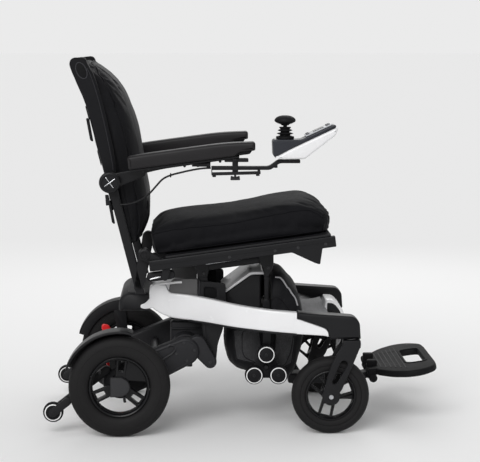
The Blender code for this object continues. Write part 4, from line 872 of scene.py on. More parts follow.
def make_rear_wheels():
    x, z = REAR_AXLE
    angles = [math.radians(a) for a in (84, 204, 323)]
    rubber_side = mm([(77.6, 16.5), (79.5, 20.5), (83.5, 23.8), (90, 26.2), (98.5, 27), (106, 26.8), (106.6, 25.8),
        (111, 25.4), (117, 23.8), (121.5, 21.2), (124.5, 18.2), (126.6, 14.6), (128, 10.2), (126.4, 9.2), (126.4, 7.4),
        (128.6, 6.4), (129, 1.6)])
    for word, side in SIDES:
        y, body = side * REAR_WHEEL_Y, f"rear_wheel_{word}"
        tyre = turned(f"rear_wheel_tyre_{word}", mirrored(rubber_side), (x, y, z), steps=96)
        hand_over(tyre, body, "tyre_rubber", [f"rear_tyre_{word}"])
        bead = mm([(77.2, 19.6), (75.8, 20.6), (72.8, 20), (70.8, 18), (70, 11), (69.4, 0)])
        barrel = turned(f"rear_wheel_barrel_{word}", mirrored(bead) + [(0.0772, -0.017), (0.0772, 0.017)], (x, y, z),
            steps=96)
        loops = spoked((x, z), 0.0235, 0.069, angles, 0.0135, 0.0155, 0.0078, 0.04, 0.0655)
        disc = plate("rear_wheel_disc", loops, y + side * 0.002, 0.017, 0.0022)
        back_loops = spoked((x, z), 0.0235, 0.069, angles, 0.011, 0.0125, 0.0078, 0.03, 0.0655)
        back_disc = plate("rear_wheel_web", back_loops, y - side * 0.01, 0.006, 0.001)
        hub = turned("rear_wheel_hub", [(0.0, 0.052 * side), (0.02, 0.052 * side), (0.024, 0.048 * side),
            (0.024, -0.012 * side), (0.022, -0.015 * side), (0.0, -0.015 * side)], (x, y, z), steps=48)
        wheel = welded(f"rear_wheel_rim_{word}", barrel, disc, back_disc, hub)
        hand_over(wheel, body, "gloss_black", [f"rear_rim_{word}"])
        cap_shape = [(x - 0.0235, z - 0.0255), (x + 0.008, z - 0.0255)]
        cap_shape += circle((x + 0.004, z), 0.024, 14, -1.25, 2.5)
        cap_shape += [(x + 0.008, z + 0.0255), (x - 0.0235, z + 0.0255)]
        seat = slab(f"rear_wheel_cap_seat_{word}", cap_shape, 0.002, 2, y + side * 0.0155, 0.005, 0.001)
        hand_over(seat, body, "black_enamel")
        inside = [(x + (u - x) * 0.93, z + (v - z) * 0.93) for u, v in cap_shape]
        cap = slab(f"rear_wheel_cap_{word}", inside, 0.002, 2, y + side * 0.019, 0.0036, 0.0012)
        hand_over(cap, body, "hub_grey")
        stem = rod(f"rear_wheel_peg_{word}", (x + 0.012, y + side * 0.012, z - 0.026),
            (x + 0.014, y + side * 0.012, z - 0.04), 0.0036, 14, 0.0008)
        hand_over(stem, body, "black_plastic")
        u, v = polar(0.0605, math.radians(145), (x, z))
        lug = rod(f"rear_wheel_lug_{word}", (u, y - side * 0.01, v), (u, y + side * 0.004, v), 0.004, 14, 0.0008)
        hand_over(lug, body, "black_plastic")


def make_casters():
    x, z = CASTER_AXLE
    angles = [math.radians(a) for a in (21, 136, 256)]
    rubber_side = mm([(64.2, 15), (65.5, 17.2), (69, 18.6), (74.5, 19.2), (77.5, 18.8), (78.2, 17.8), (79, 19),
        (83, 19.8), (87.2, 19.6), (91.2, 17.8), (94.5, 15.2), (96.8, 11.8), (98.5, 7.8), (99.3, 3.6), (99.5, 1)])
    for word, side in SIDES:
        y, body = side * CASTER_Y, f"caster_wheel_{word}"
        tyre = turned(f"caster_wheel_tyre_{word}", mirrored(rubber_side), (x, y, z), steps=88)
        hand_over(tyre, body, "tyre_rubber", [f"caster_tyre_{word}"])
        bead = mm([(64, 16), (62.8, 16.8), (60.5, 16.6), (59, 15), (58.2, 9), (57.8, 0)])
        barrel = turned(f"caster_wheel_barrel_{word}", mirrored(bead) + [(0.064, -0.014), (0.064, 0.014)], (x, y, z),
            steps=88)
        loops = spoked((x, z), 0.0205, 0.0572, angles, 0.017, 0.0185, 0.0122, 0.025, 0.054)
        disc = plate("caster_wheel_disc", loops, y, 0.013, 0.0018)
        hub = turned("caster_wheel_hub", mirrored([(0.0, -0.0232), (0.017, -0.0232), (0.0205, -0.02)]), (x, y, z),
            steps=40)
        wheel = welded(f"caster_wheel_rim_{word}", barrel, disc, hub)
        hand_over(wheel, body, "gloss_black", [f"caster_rim_{word}"])


def make_caster_forks():
    x, z = CASTER_AXLE
    leg = mm([(251, 244, 2), (294, 244, 2), (295, 232, 4), (281, 197, 30), (262, 152, 30), (247, 117, 20)])
    leg += circle((x, z), 0.0225, 14, math.radians(25), math.radians(-225))
    leg += mm([(206, 132, 10), (214, 168, 30), (232, 208, 20), (248, 232, 6)])
    slot_line, stem_x = ((0.2515, 0.184), (0.229, 0.139)), 0.272
    slot = capsule(*slot_line, 0.0098, 0.0068, 8)
    for word, side in SIDES:
        y = side * CASTER_Y
        body = f"caster_{word}"
        legs = [plate("fork_leg", [rounded(leg, 0.002, 3), slot], y + way * 0.0282, 0.008, 0.0024) for way in (-1, 1)]
        crown = block("fork_crown", (0.2505, y - 0.03, 0.223), (0.2945, y + 0.03, 0.2444), 0.0035, 3)
        ribs = [plate("fork_rib", [capsule(*slot_line, 0.0128, 0.0096, 8), slot], y + way * 0.0316, 0.0026, 0.0009)
            for way in (-1, 1)]
        axle = turned("fork_axle", mirrored([(0.0, -0.0335), (0.0085, -0.0335), (0.01, -0.0322)]), (x, y, z), steps=28)
        stem = turned("fork_stem", mm([(0, -4), (7.8, -4), (7.8, 33), (0, 33)]), (stem_x, y, 0.245), "Z", 24)
        fork = welded(f"caster_fork_cover_{word}", *legs, crown, *ribs, axle, stem)
        hand_over(fork, body, "satin_black", [f"caster_fork_{word}"])
        seal = ring(f"caster_seal_{word}", (stem_x, y, 0.2452), 0.015, 0.0011, "Z", 32, 8)
        hand_over(seal, body, "white_ring")
        bolt = screws(f"caster_bolt_{word}", [(x, y + side * 0.033, z)], 0.006, side, 0.0028)
        hand_over(bolt, body, "dull_steel")


def make_transport_rollers():
    x, z = 0.058, 0.162
    for word, side in SIDES:
        body = f"transport_rollers_{word}"
        low, high = 0.1942, 0.2189
        half = (high - low) / 2
        corners = [polar(0.036, math.radians(a), (x, z)) for a in (90, 210, 330)]
        web = []
        for angle, spot in zip((90, 210, 330), corners):
            web += circle(spot, 0.0115, 8, math.radians(angle - 60), math.radians(120))
        carrier = plate("roller_carrier", [web, circle((x, z), 0.0052, 24)], side * 0.1902, 0.0078, 0.0012)
        wheels = []
        for u, v in corners:
            wheels.append(turned("roller", [(0.0, -half), (0.019, -half), (0.0225, -half + 0.002),
                (0.024, -half + 0.006), (0.024, half - 0.006), (0.0225, half - 0.0018), (0.0195, half), (0.0168, half),
                (0.016, half - 0.0016), (0.008, half - 0.0016), (0.0072, half - 0.0004), (0.0, half - 0.0004)],
                (u, side * (low + half), v), steps=48))
        if side < 0:
            for item in wheels:
                turn_over(item)
        piece = welded(f"transport_roller_set_{word}", carrier, *wheels)
        hand_over(piece, body, "soft_rubber", [f"transport_rollers_{word}"])
        bands = [turned("roller_band", mm([(18.2, -0.8), (20.5, -0.8), (20.8, 0.4), (20, 1.2), (18.4, 1.2)]),
            (u, side * (high - 0.0001), v), steps=56) for u, v in corners]
        hand_over(welded(f"transport_roller_bands_{word}", *bands), body, "white_ring")
        heads = screws(f"transport_roller_screws_{word}", [(u, side * (high - 0.0006), v) for u, v in corners], 0.0052,
            side, 0.002)
        hand_over(heads, body, "black_enamel")


def turn_over(item):
    """Turn a lathed piece end for end along Y about its own middle."""
    low = min(vert.co.y for vert in item.data.vertices)
    high = max(vert.co.y for vert in item.data.vertices)
    middle = (low + high) / 2
    for vert in item.data.vertices:
        vert.co.y = 2 * middle - vert.co.y
    face_out(item)
    return shade_soft(item, 40.0)


def make_anti_tip():
    x, z = -0.487, 0.058
    for word, side in SIDES:
        wheel_body = f"anti_tip_wheel_{word}"
        half = 0.0098
        wheel = turned(f"anti_tip_tyre_{word}", [(0.0045, -half), (0.02, -half), (0.024, -half + 0.002),
            (0.026, -half + 0.006), (0.026, half - 0.006), (0.024, half - 0.002), (0.0215, half), (0.0045, half)],
            (x, side * ANTI_TIP_Y, z), steps=48)
        hand_over(wheel, wheel_body, "soft_rubber", [f"anti_tip_wheel_{word}"])
        band = turned(f"anti_tip_band_{word}", mm([(18.6, -0.8), (21.2, -0.8), (21.4, 0.3), (20.6, 0.9), (18.8, 0.9)]),
            (x, side * (ANTI_TIP_Y + half), z), steps=56)
        hand_over(band, wheel_body, "white_ring")
        inner = turned(f"anti_tip_inner_band_{word}", [(0.0188, -side * 0.0008), (0.0212, -side * 0.0008),
            (0.0212, side * 0.0003), (0.0188, side * 0.0003)], (x, side * (ANTI_TIP_Y - half), z), steps=56)
        hand_over(inner, wheel_body, "white_ring")
        arm_line = [(-0.487, 0.058), (-0.352, 0.162)]
        arm = plate("anti_tip_bar", [capsule(*arm_line, 0.01, 0.011)], side * 0.2205, 0.0178, 0.0025)
        way = (Vector(arm_line[1]) - Vector(arm_line[0])).normalized()
        out_first = Vector(arm_line[0])
        out_last = out_first + way * 0.047
        cheek = plate("anti_tip_cheek", [capsule(tuple(out_first), tuple(out_last), 0.0105, 0.01)], side * 0.253,
            0.0036, 0.0012)
        start, end = out_first + way * 0.0305, out_first + way * 0.048
        bridge_shape = [start + Vector((-way.y, way.x)) * 0.0085, end + Vector((-way.y, way.x)) * 0.0085,
            end - Vector((-way.y, way.x)) * 0.0085, start - Vector((-way.y, way.x)) * 0.0085]
        bridge = slab("anti_tip_bridge", [tuple(p) for p in bridge_shape], 0.003, 5, side * 0.2385, 0.029, 0.0015)
        pin = rod("anti_tip_pin", (x, side * 0.23, z), (x, side * 0.256, z), 0.004, 20, 0.0008)
        piece = welded(f"anti_tip_fork_{word}", arm, cheek, bridge, pin)
        hand_over(piece, "drive_frame", "black_plastic", [f"anti_tip_arm_{word}"])


# Side rails, battery, bag and footrest

# The white rail's outline seen from the side, and how far out it stands: x, low, high, outer face
RAIL_STATIONS = mm([(-242.5, 329, 356, 150), (-240, 318, 366, 150.2), (-233, 308.5, 370.5, 150.3),
    (-225, 302, 371.2, 150.4), (-212, 294.5, 371, 150.5), (-201, 289.5, 369, 150.5), (-196.5, 287.8, 360, 150.6),
    (-190, 285.2, 350.8, 150.8), (-178, 282.8, 347.8, 152), (-160, 280.6, 346.2, 154.5), (-140, 278.7, 343.8, 159),
    (-119, 277, 341.2, 168), (-95, 275.6, 338.4, 182), (-65, 273.8, 335, 203), (-35, 272, 331.2, 225),
    (-5, 270.3, 327.6, 242), (20, 269, 325, 253), (42, 267.8, 323, 262), (70, 265.2, 320, 266.5),
    (100, 262.8, 317.8, 269), (120, 261.2, 316, 270), (132.2, 260.2, 314.8, 270)])
RAIL_WALL = 0.03
RAIL_ROUND = 0.0055


def rail_section(x, low, high, outer, side, wall, reach=RAIL_ROUND, steps=5):
    """A rounded upright section of the rail across the chair."""
    reach = min(reach, (high - low) * 0.45, wall * 0.45)
    corners = [(outer, low), (outer, high), (outer - wall, high), (outer - wall, low)]
    loop = rounded(corners, reach, steps)
    return [Vector((x, side * y, z)) for y, z in loop]


def smooth_rows(rows, steps):
    """Rows of numbers with smooth rows between them."""
    count = len(rows)
    found = []
    for i in range(count - 1):
        a, b, c, d = [rows[max(0, min(count - 1, i + k - 1))] for k in range(4)]
        for s in range(steps):
            t = s / steps
            found.append(
                [0.5 * (2 * q + (r - p) * t + (2 * p - 5 * q + 4 * r - w) * t * t + (3 * q - p - 3 * r + w) * t ** 3)
                for p, q, r, w in zip(a, b, c, d)])
    found.append(list(rows[-1]))
    return found


def make_side_rails():
    for word, side in SIDES:
        rows = [rail_section(*station, side, RAIL_WALL) for station in smooth_rows(RAIL_STATIONS, 3)]
        rail = skin(f"side_rail_white_{word}", rows, 60.0)
        tongue = mm([(128, 260.2, 299.5), (140, 259.6, 296.8), (165, 258, 288), (190, 256.2, 279.2), (204, 255, 273.5),
            (211, 253, 266), (212.5, 253, 260)])
        tongue_rows = [rail_section(x, low, high, 0.2698, side, 0.029, 0.004) for x, low,
            high in smooth_rows(tongue, 3)]
        tip = skin("side_rail_tongue", tongue_rows, 60.0)
        rail = welded(f"side_rail_white_{word}", rail, tip)
        hand_over(rail, "frame", "white_enamel", [f"side_rail_{word}"])
        lips = []
        for x, low, high, outer in smooth_rows(RAIL_STATIONS[10:], 3):
            section = rounded(oblong(outer - 0.01, outer + 0.0012, low - 0.0035, low + 0.0018), 0.0016, 3)
            lips.append([Vector((x, side * y, z)) for y, z in section])
        lip = skin(f"side_rail_lip_{word}", lips, 50.0)
        hand_over(lip, "frame", "black_plastic")


def make_rail_horns():
    for word, side in SIDES:
        tail = mm([(-276.3, 312.5, 316, 144), (-268.3, 309.5, 319, 147), (-253.3, 307, 323.5, 149),
            (-238.3, 309, 340, 150), (-226.3, 312, 356, 150.2), (-218.3, 316, 364, 150)])
        rows = [rail_section(*station, side, 0.024, 0.003) for station in smooth_rows(tail, 4)]
        horn = skin("rail_horn", rows, 60.0)
        ridge = [(x, side * 0.147, z) for x, z in mm([(-240.3, 345), (-238.3, 356), (-232.3, 365), (-221.3, 371.5),
            (-206.3, 373.8), (-188.3, 374.5), (-173.3, 376.5), (-158.3, 377)])]
        lip = cord_mesh("rail_ridge", smooth_line(ridge, 5), 0.0034)
        piece = welded(f"side_rail_horn_{word}", horn, lip)
        hand_over(piece, "frame", "white_enamel")
        panel = mm([(-192.8, 330), (-118.3, 330), (-117.3, 385, 3), (-184.3, 385, 10), (-191.3, 364, 10)])
        silver = slab(f"rail_inner_panel_{word}", panel, 0.002, 5, side * 0.1405, 0.0065, 0.002)
        hand_over(silver, "frame", "silver_plate")
        border = slab(f"rail_inner_border_{word}",
            mm([(-117.5, 330), (-112.3, 330), (-109.8, 378, 4), (-117.1, 385.2, 2)]), 0.001, 3, side * 0.1412, 0.007,
            0.0018)
        hand_over(border, "frame", "grey_plastic")
        frame_loop = rounded(mm([(-112.3, 322), (-44.3, 315), (-44.3, 368, 6), (-52.3, 374, 6), (-110.3, 379, 4)]),
            0.002, 4)
        opening = rounded(mm([(-101.3, 335, 5), (-68.3, 333, 5), (-68.3, 360, 8), (-101.3, 364, 8)]), 0.005, 5)
        surround = plate(f"rail_recess_frame_{word}", [frame_loop, opening], side * 0.1408, 0.0064, 0.0016)
        hand_over(surround, "frame", "black_plastic")
        # The recess is closed behind by a matt sheet darker than its surround: painted shade for the dark inside of the
        # recess.
        back = block(f"rail_recess_shaded_back_{word}", (-0.1043, side * 0.1366, 0.33), (-0.0653, side * 0.138, 0.368))
        hand_over(back, "frame", "matt_black")


def make_rail_caps():
    outline = mm([(133.5, 315, 1), (278, 304.5, 14), (292.5, 290, 10), (295.5, 246, 4), (216.5, 246, 6),
        (207.5, 274, 4), (134.5, 300.2, 1)])
    for word, side in SIDES:
        cap = slab("rail_cap_body", outline, 0.002, 6, side * 0.2465, 0.048, 0.006)
        seam = slab("rail_cap_band", mm([(134, 316, 1), (140.5, 315.6, 1), (140.5, 298.5, 1), (134.5, 300.5, 1)]),
            0.001, 2, side * 0.2465, 0.0486, 0.006)
        cap = welded(f"rail_cap_cover_{word}", cap, seam)
        hand_over(cap, "frame", "satin_black", [f"rail_cap_{word}"])


def make_battery():
    case = mm([(-44.7, 262.5, 4), (49.4, 262.5, 4), (49.4, 390.5, 3), (24, 390.5, 6), (10, 380, 6), (-44.7, 342, 4)])
    body = slab("battery_case_body", case, 0.003, 4, 0.0, 0.2196, 0.0045)
    ribs = [block("battery_rib", (-0.0462, y - 0.003, 0.27), (-0.043, y + 0.003, 0.332), 0.0008) for y in (-0.06, 0.06)]
    body = welded("battery_case_cover", body, *ribs)
    hand_over(body, "frame", "black_plastic", ["battery_case"])
    lid = mm([(-53.5, 340.5, 4), (-50.5, 346.2, 4), (4.5, 386.5, 6), (20.5, 398.5, 8), (52.5, 398.5, 3),
        (55.5, 394.5, 2), (55.5, 391.5, 1), (22.5, 391.2, 8), (8.5, 381.2, 6), (-46.5, 342.2, 3), (-48.5, 338.5, 2)])
    white = slab("battery_lid_cover", lid, 0.002, 5, 0.0, 0.232, 0.0016)
    hand_over(white, "frame", "white_plastic", ["battery_lid"])


# Storage bag

BAG_SIDE = mm([(-43, 260, 12), (-46.5, 205, 20), (-38, 154, 20), (-4, 137, 30), (89, 114, 30), (126, 117, 20),
    (154, 180, 40), (164, 264, 30), (154, 332, 30), (129, 370, 20), (105, 397, 16), (83, 398.5, 10), (75.2, 388, 8),
    (75.2, 264, 6), (69, 260, 4)])
BAG_HALF = 0.1495
BAG_MIDDLE = (0.076, 0.225)
BAG_SQUARE = 6.0


def bag_row(turn, outline):
    """One section of the bag, drawn in towards its two sides."""
    share = math.copysign(abs(math.sin(turn)) ** (2 / BAG_SQUARE), turn)
    size = abs(math.cos(turn)) ** (2 / BAG_SQUARE)
    return [Vector((BAG_MIDDLE[0] + (x - BAG_MIDDLE[0]) * size, share * BAG_HALF,
        BAG_MIDDLE[1] + (z - BAG_MIDDLE[1]) * size)) for x, z in outline]


def patch(name, item, corners, lift, wall, cells=(24, 16)):
    """A thin panel laid on a surface between four corners."""
    a, b, c, d = [Vector(p) for p in corners]
    across, down = cells
    spots = []
    for j in range(down + 1):
        for i in range(across + 1):
            u, v = i / across, j / down
            point = a * (1 - u) * (1 - v) + b * u * (1 - v) + c * u * v + d * (1 - u) * v
            spots.append(point)
    spots = on_surface(item, spots, lift)
    faces = [(j * (across + 1) + i, j * (across + 1) + i + 1, (j + 1) * (across + 1) + i + 1,
        (j + 1) * (across + 1) + i) for j in range(down) for i in range(across)]
    mesh = bpy.data.meshes.new(name)
    mesh.from_pydata([tuple(p) for p in spots], [], faces)
    panel = linked(name, mesh)
    thick = panel.modifiers.new("wall", "SOLIDIFY")
    thick.thickness = wall
    thick.offset = 0.0
    apply_all(panel)
    return shade_soft(face_out(panel), 50.0)


def make_bag():
    outline = rounded(BAG_SIDE, 0.02, 8)
    outline = [tuple(p)[:2] for p in even_loop(outline, 120)]
    rows = [bag_row(-1.5606 + 3.1212 * i / 72, outline) for i in range(73)]
    bag = skin("storage_bag_body", rows, 70.0)

    def soft_share(spot, normal):
        near_tube = max(0.0, 1.0 - abs(spot.x - 0.0752) / 0.012) if spot.z > 0.262 else 0.0
        return max(0.0, 1.0 - near_tube)

    wrinkle(bag, 0.0036, 0.052, (1.0, 0.7, 0.6), soft_share)
    wrinkle(bag, 0.0016, 0.017, (1.0, 1.0, 0.5), soft_share)
    for vert in bag.data.vertices:
        vert.co.y = max(-0.1535, min(0.1535, vert.co.y))
    shade_soft(bag, 70.0)
    hand_over(bag, "frame", "bag_cloth", ["storage_bag"])
    rim = bag_row(1.3, outline)
    for word, side in SIDES:
        line = [Vector((p.x, side * abs(p.y), p.z)) for p in rim]
        seam = cord_mesh(f"storage_bag_seam_{word}", on_surface(bag, line, 0.0008), 0.0016, closed=True)
        hand_over(seam, "frame", "bag_cloth")
        # Piping down the bag's curved front edge: the piping is real, and its pale grey is also a painted highlight
        # along that edge.
        piping_line = [(0.079, side * 0.136, 0.401), (0.096, side * 0.138, 0.401), (0.108, side * 0.14, 0.392),
            (0.12, side * 0.142, 0.378), (0.134, side * 0.144, 0.356), (0.145, side * 0.145, 0.335),
            (0.15, side * 0.146, 0.315)]
        spots = on_surface(bag, smooth_line(piping_line, 8), 0.0012)
        piping = cord_mesh(f"storage_bag_piping_and_highlight_{word}", spots, 0.002)
        hand_over(piping, "frame", "pale_piping")
        y = side * 0.15
        windows = (mm([(-30, 252), (42, 252), (52, 158), (-22, 172)]),
            mm([(86, 248), (138, 248), (128, 160), (78, 142)]))
        for place, corners in enumerate(windows):
            net = patch(f"storage_bag_net_{word}_{place + 1}", bag, [(x, y, z) for x, z in corners], 0.0012, 0.0014)
            hand_over(net, "frame", "bag_net")
            loop = []
            for a, b in zip(corners, corners[1:] + corners[:1]):
                loop += [(a[0] + (b[0] - a[0]) * k / 10, y, a[1] + (b[1] - a[1]) * k / 10) for k in range(10)]
            edge = cord_mesh(f"storage_bag_net_edge_{word}_{place + 1}", on_surface(bag, loop, 0.002), 0.0018,
                closed=True)
            hand_over(edge, "frame", "bag_cloth")
    flap_rows = []
    for i in range(13):
        t = i / 12
        x = 0.146 + 0.077 * t
        z = 0.2935 - 0.006 * math.sin(math.pi * t)
        loop = rounded(oblong(-0.135, 0.135, z, z - 0.004), 0.0015, 2)
        flap_rows.append([Vector((x, y, h)) for y, h in loop])
    flap = skin("storage_bag_flap", flap_rows, 50.0)
    hand_over(flap, "frame", "grey_net")


def even_loop(loop, count):
    """Points at even steps along a closed outline."""
    spots = [Vector((*p, 0.0)[:3]) for p in loop]
    spots.append(spots[0])
    lengths = [0.0]
    for a, b in zip(spots, spots[1:]):
        lengths.append(lengths[-1] + (b - a).length)
    found, place = [], 0
    for i in range(count):
        wanted = lengths[-1] * i / count
        while lengths[place + 1] < wanted:
            place += 1
        share = (wanted - lengths[place]) / max(1e-9, lengths[place + 1] - lengths[place])
        found.append(spots[place].lerp(spots[place + 1], share))
    return found


# Footrest


def make_footrest():
    outer = mm([(223.5, 313, 4), (248, 312.5, 10), (266, 293, 20), (276.5, 266, 30), (281, 225, 40), (279, 185, 20),
        (276, 111, 2), (258.5, 111, 2), (261, 185, 20), (263, 225, 40), (256, 252, 10), (235, 254, 10), (220, 262, 10),
        (219, 278, 10)])
    hanger = slab("footrest_hanger_cover", outer, 0.004, 7, 0.0, 0.11, 0.005)
    hand_over(hanger, "frame", "white_enamel", ["footrest_hanger"])
    for word, side in SIDES:
        inner = mm([(227, 306, 4), (244, 305, 8), (260, 288, 20), (270, 262, 30), (274, 225, 40), (272, 115, 2),
            (263, 115, 2), (265, 185, 20), (267, 225, 40), (260, 254, 12), (238, 259, 10), (227, 270, 6)])
        cheek = slab(f"footrest_hanger_cheek_{word}", inner, 0.004, 7, side * 0.0548, 0.0018, 0.0006)
        hand_over(cheek, "frame", "black_plastic")
    beam = mm([(125.5, 83, 6), (125.5, 109.5, 6), (312, 109.5, 8), (334, 112, 6), (334, 98, 6), (312, 83, 12)])
    body = slab("footrest_beam_body", beam[:2] + [(0.325, 0.1095, 0.004), (0.3275, 0.095, 0.004),
        (0.318, 0.0835, 0.008)], 0.004, 5, 0.0, 0.059, 0.005)
    tongue = plate("footrest_beam_tongue", [capsule((0.318, 0.099), (0.348, 0.105), 0.009, 0.009)], 0.0, 0.039, 0.002)
    pin = turned("footrest_beam_pin", mirrored([(0.0, -0.0345), (0.0045, -0.0345), (0.005, -0.034)]),
        (0.348, 0.0, 0.105), "Y", 24)
    ribs = [block("footrest_beam_rib", (0.14 + 0.04 * i, -0.0298, 0.0822), (0.144 + 0.04 * i, 0.0298, 0.085), 0.0008)
        for i in range(4)]
    beam = welded("footrest_beam_cover", body, tongue, pin, *ribs)
    hand_over(beam, "frame", "black_plastic", ["footrest_beam"])


FOOT_TILT = math.radians(8.0)
FOOT_REAR = (0.358, 0.1185)
FOOT_WALL = 0.018


def foot_tip(item):
    """Tip a piece of the footplate up about its rear lower edge."""
    item.location = (FOOT_REAR[0], 0.0, FOOT_REAR[1])
    item.rotation_euler = (0.0, -FOOT_TILT, 0.0)
    return settle(item)


def make_footplate():
    # The plate is drawn flat, from its rear edge at x 0, then tipped
    length, half, rear_half = 0.1565, 0.188, 0.108
    right = [(0.0, -rear_half, 0.02), (0.034, -0.16, 0.05), (0.078, -half, 0.04), (0.118, -0.184, 0.03),
        (length - 0.004, -0.15, 0.03), (length, -0.11, 0.04)]
    left = [(x, -y, r) for x, y, r in reversed(right)]
    wing = mm([(0, 100, 4), (-23, 96, 6), (-23, 34.5, 3), (0, 33.5, 3)])
    wing_mirror = [(x, -y, r) for x, y, r in reversed(wing)]
    edge = rounded(right + left + wing + wing_mirror, 0.01, 9)
    hole = rounded(oblong(0.085, 0.133, -0.086, 0.086), 0.02, 8)
    main = plate("footplate_main", [edge, hole], FOOT_WALL / 2, FOOT_WALL, 0.006, "Z")
    lip_hole = rounded(oblong(0.0835, 0.1345, -0.0875, 0.0875), 0.021, 8)
    lip_edge = rounded(oblong(0.0775, 0.1405, -0.0935, 0.0935), 0.026, 8)
    lip = plate("footplate_lip", [lip_edge, lip_hole], FOOT_WALL + 0.0002, 0.0036, 0.0014, "Z")
    main = foot_tip(welded("footplate_main", main, lip))
    parts = [main]
    for side in (-1, 1):
        ear = slab("footplate_ear", mm([(336.5, 96.5, 8), (359, 96.5, 8), (366, 118, 4), (366, 125, 2), (338, 125, 3),
            (335.5, 110, 4)]), 0.004, 5, side * 0.0277, 0.0144, 0.0016)
        barrel = rod("footplate_barrel", (0.348, side * 0.0345, 0.109), (0.348, side * 0.0958, 0.109), 0.011, 40,
            0.0012)
        stop = block("footplate_stop", (0.3352, side * 0.0352, 0.1228), (0.3618, side * 0.0588, 0.1503), 0.0035, 3)
        parts += [ear, barrel, stop]
    body = welded("footplate_body", *parts)
    hand_over(body, "footplate", "matt_black", ["footplate"])
    treads = []
    for i in range(6):
        x = 0.012 + 0.012 * i
        reach = 0.092 + 0.01 * i
        treads.append(block("footplate_tread", (x, -reach, FOOT_WALL - 0.0004), (x + 0.0035, reach, FOOT_WALL + 0.0009),
            0.0004, 1))
    tread = foot_tip(welded("footplate_treads", *treads))
    hand_over(tread, "footplate", "soft_rubber")


# Seat frame


def make_seat_rails():
    side_view = [seat_point(0.0, 0.0) + (0.003,), seat_point(0.365, 0.0) + (0.004,), seat_point(0.42, -0.035)
        + (0.004,), seat_point(0.432, -0.04) + (0.004,), seat_point(0.443, 0.0) + (0.002,),
        seat_point(0.479, 0.0) + (0.003,), seat_point(0.479, 0.028) + (0.003,), seat_point(0.0, 0.028) + (0.003,)]
    for word, side in SIDES:
        bar = slab("seat_rail_bar", side_view, 0.003, 4, side * 0.2155, 0.0198, 0.003)
        rib_line = [seat_point(0.012, 0.0195), seat_point(0.47, 0.0195)]
        rib = plate("seat_rail_rib", [capsule(*rib_line, 0.005, 0.005, 8)], side * 0.2256, 0.0016, 0.0006)
        boss = turned("seat_hinge_boss", [(0.0, 0.006 * side), (0.015, 0.006 * side), (0.015, -0.0022 * side),
            (0.0135, -0.0034 * side), (0.01, -0.0034 * side), (0.0092, -0.002 * side), (0.0062, -0.002 * side),
            (0.0056, -0.004 * side), (0.0, -0.004 * side)], at_side(SEAT_HINGE, side * 0.213), "Y", 40)
        link = plate("seat_hinge_link", [capsule(SEAT_HINGE, seat_point(0.03, 0.016), 0.015, 0.012, 12)], side * 0.21,
            0.008, 0.0018)
        pin = rod("latch_pin", at_side(LATCH_PIN, side * 0.185), at_side(LATCH_PIN, side * 0.214), 0.0048, 20)
        plate_ear = plate("latch_ear", [capsule(LATCH_PIN, seat_point(0.045, 0.008), 0.0085, 0.011, 10)], side * 0.2115,
            0.01, 0.0016)
        rail = welded(f"seat_rail_cover_{word}", bar, rib, boss, link, pin, plate_ear)
        hand_over(rail, "frame", "satin_black", [f"seat_rail_{word}"])
        spots = [seat_point(along, 0.0105) for along in (0.205, 0.322, 0.381, 0.452)]
        heads = screws(f"seat_rail_bolts_{word}", [(x, side * 0.2254, z) for x, z in spots], 0.0042, side, 0.0018)
        hand_over(heads, "frame", "hub_grey")
        lever = plate("latch_lever_body", [capsule((-0.236, 0.3985), (-0.187, 0.4045), 0.012, 0.0118, 14)],
            side * 0.1972, 0.0152, 0.0046)
        hand_over(lever, f"latch_lever_{word}", "black_plastic", [f"latch_lever_{word}"])
        lever.name = f"latch_lever_cover_{word}"
        inner = rod("latch_rod", (-0.24, side * 0.2062, 0.393), (-0.212, side * 0.2062, 0.4), 0.002, 14, 0.0006)
        hand_over(welded(f"latch_rod_{word}", inner), f"latch_lever_{word}", "chrome")


def make_seat_base():
    rows = []
    for i in range(3):
        along = 0.0445 + (0.4685 - 0.0445) * i / 2
        loop = rounded(oblong(-0.225, 0.225, 0.0285, 0.0341), 0.0016, 3)
        rows.append([Vector((seat_point(along, up)[0], y, seat_point(along, up)[1])) for y, up in loop])
    base = skin("seat_base_cover", rows, 40.0)
    hand_over(base, "frame", "black_plastic", ["seat_base"])


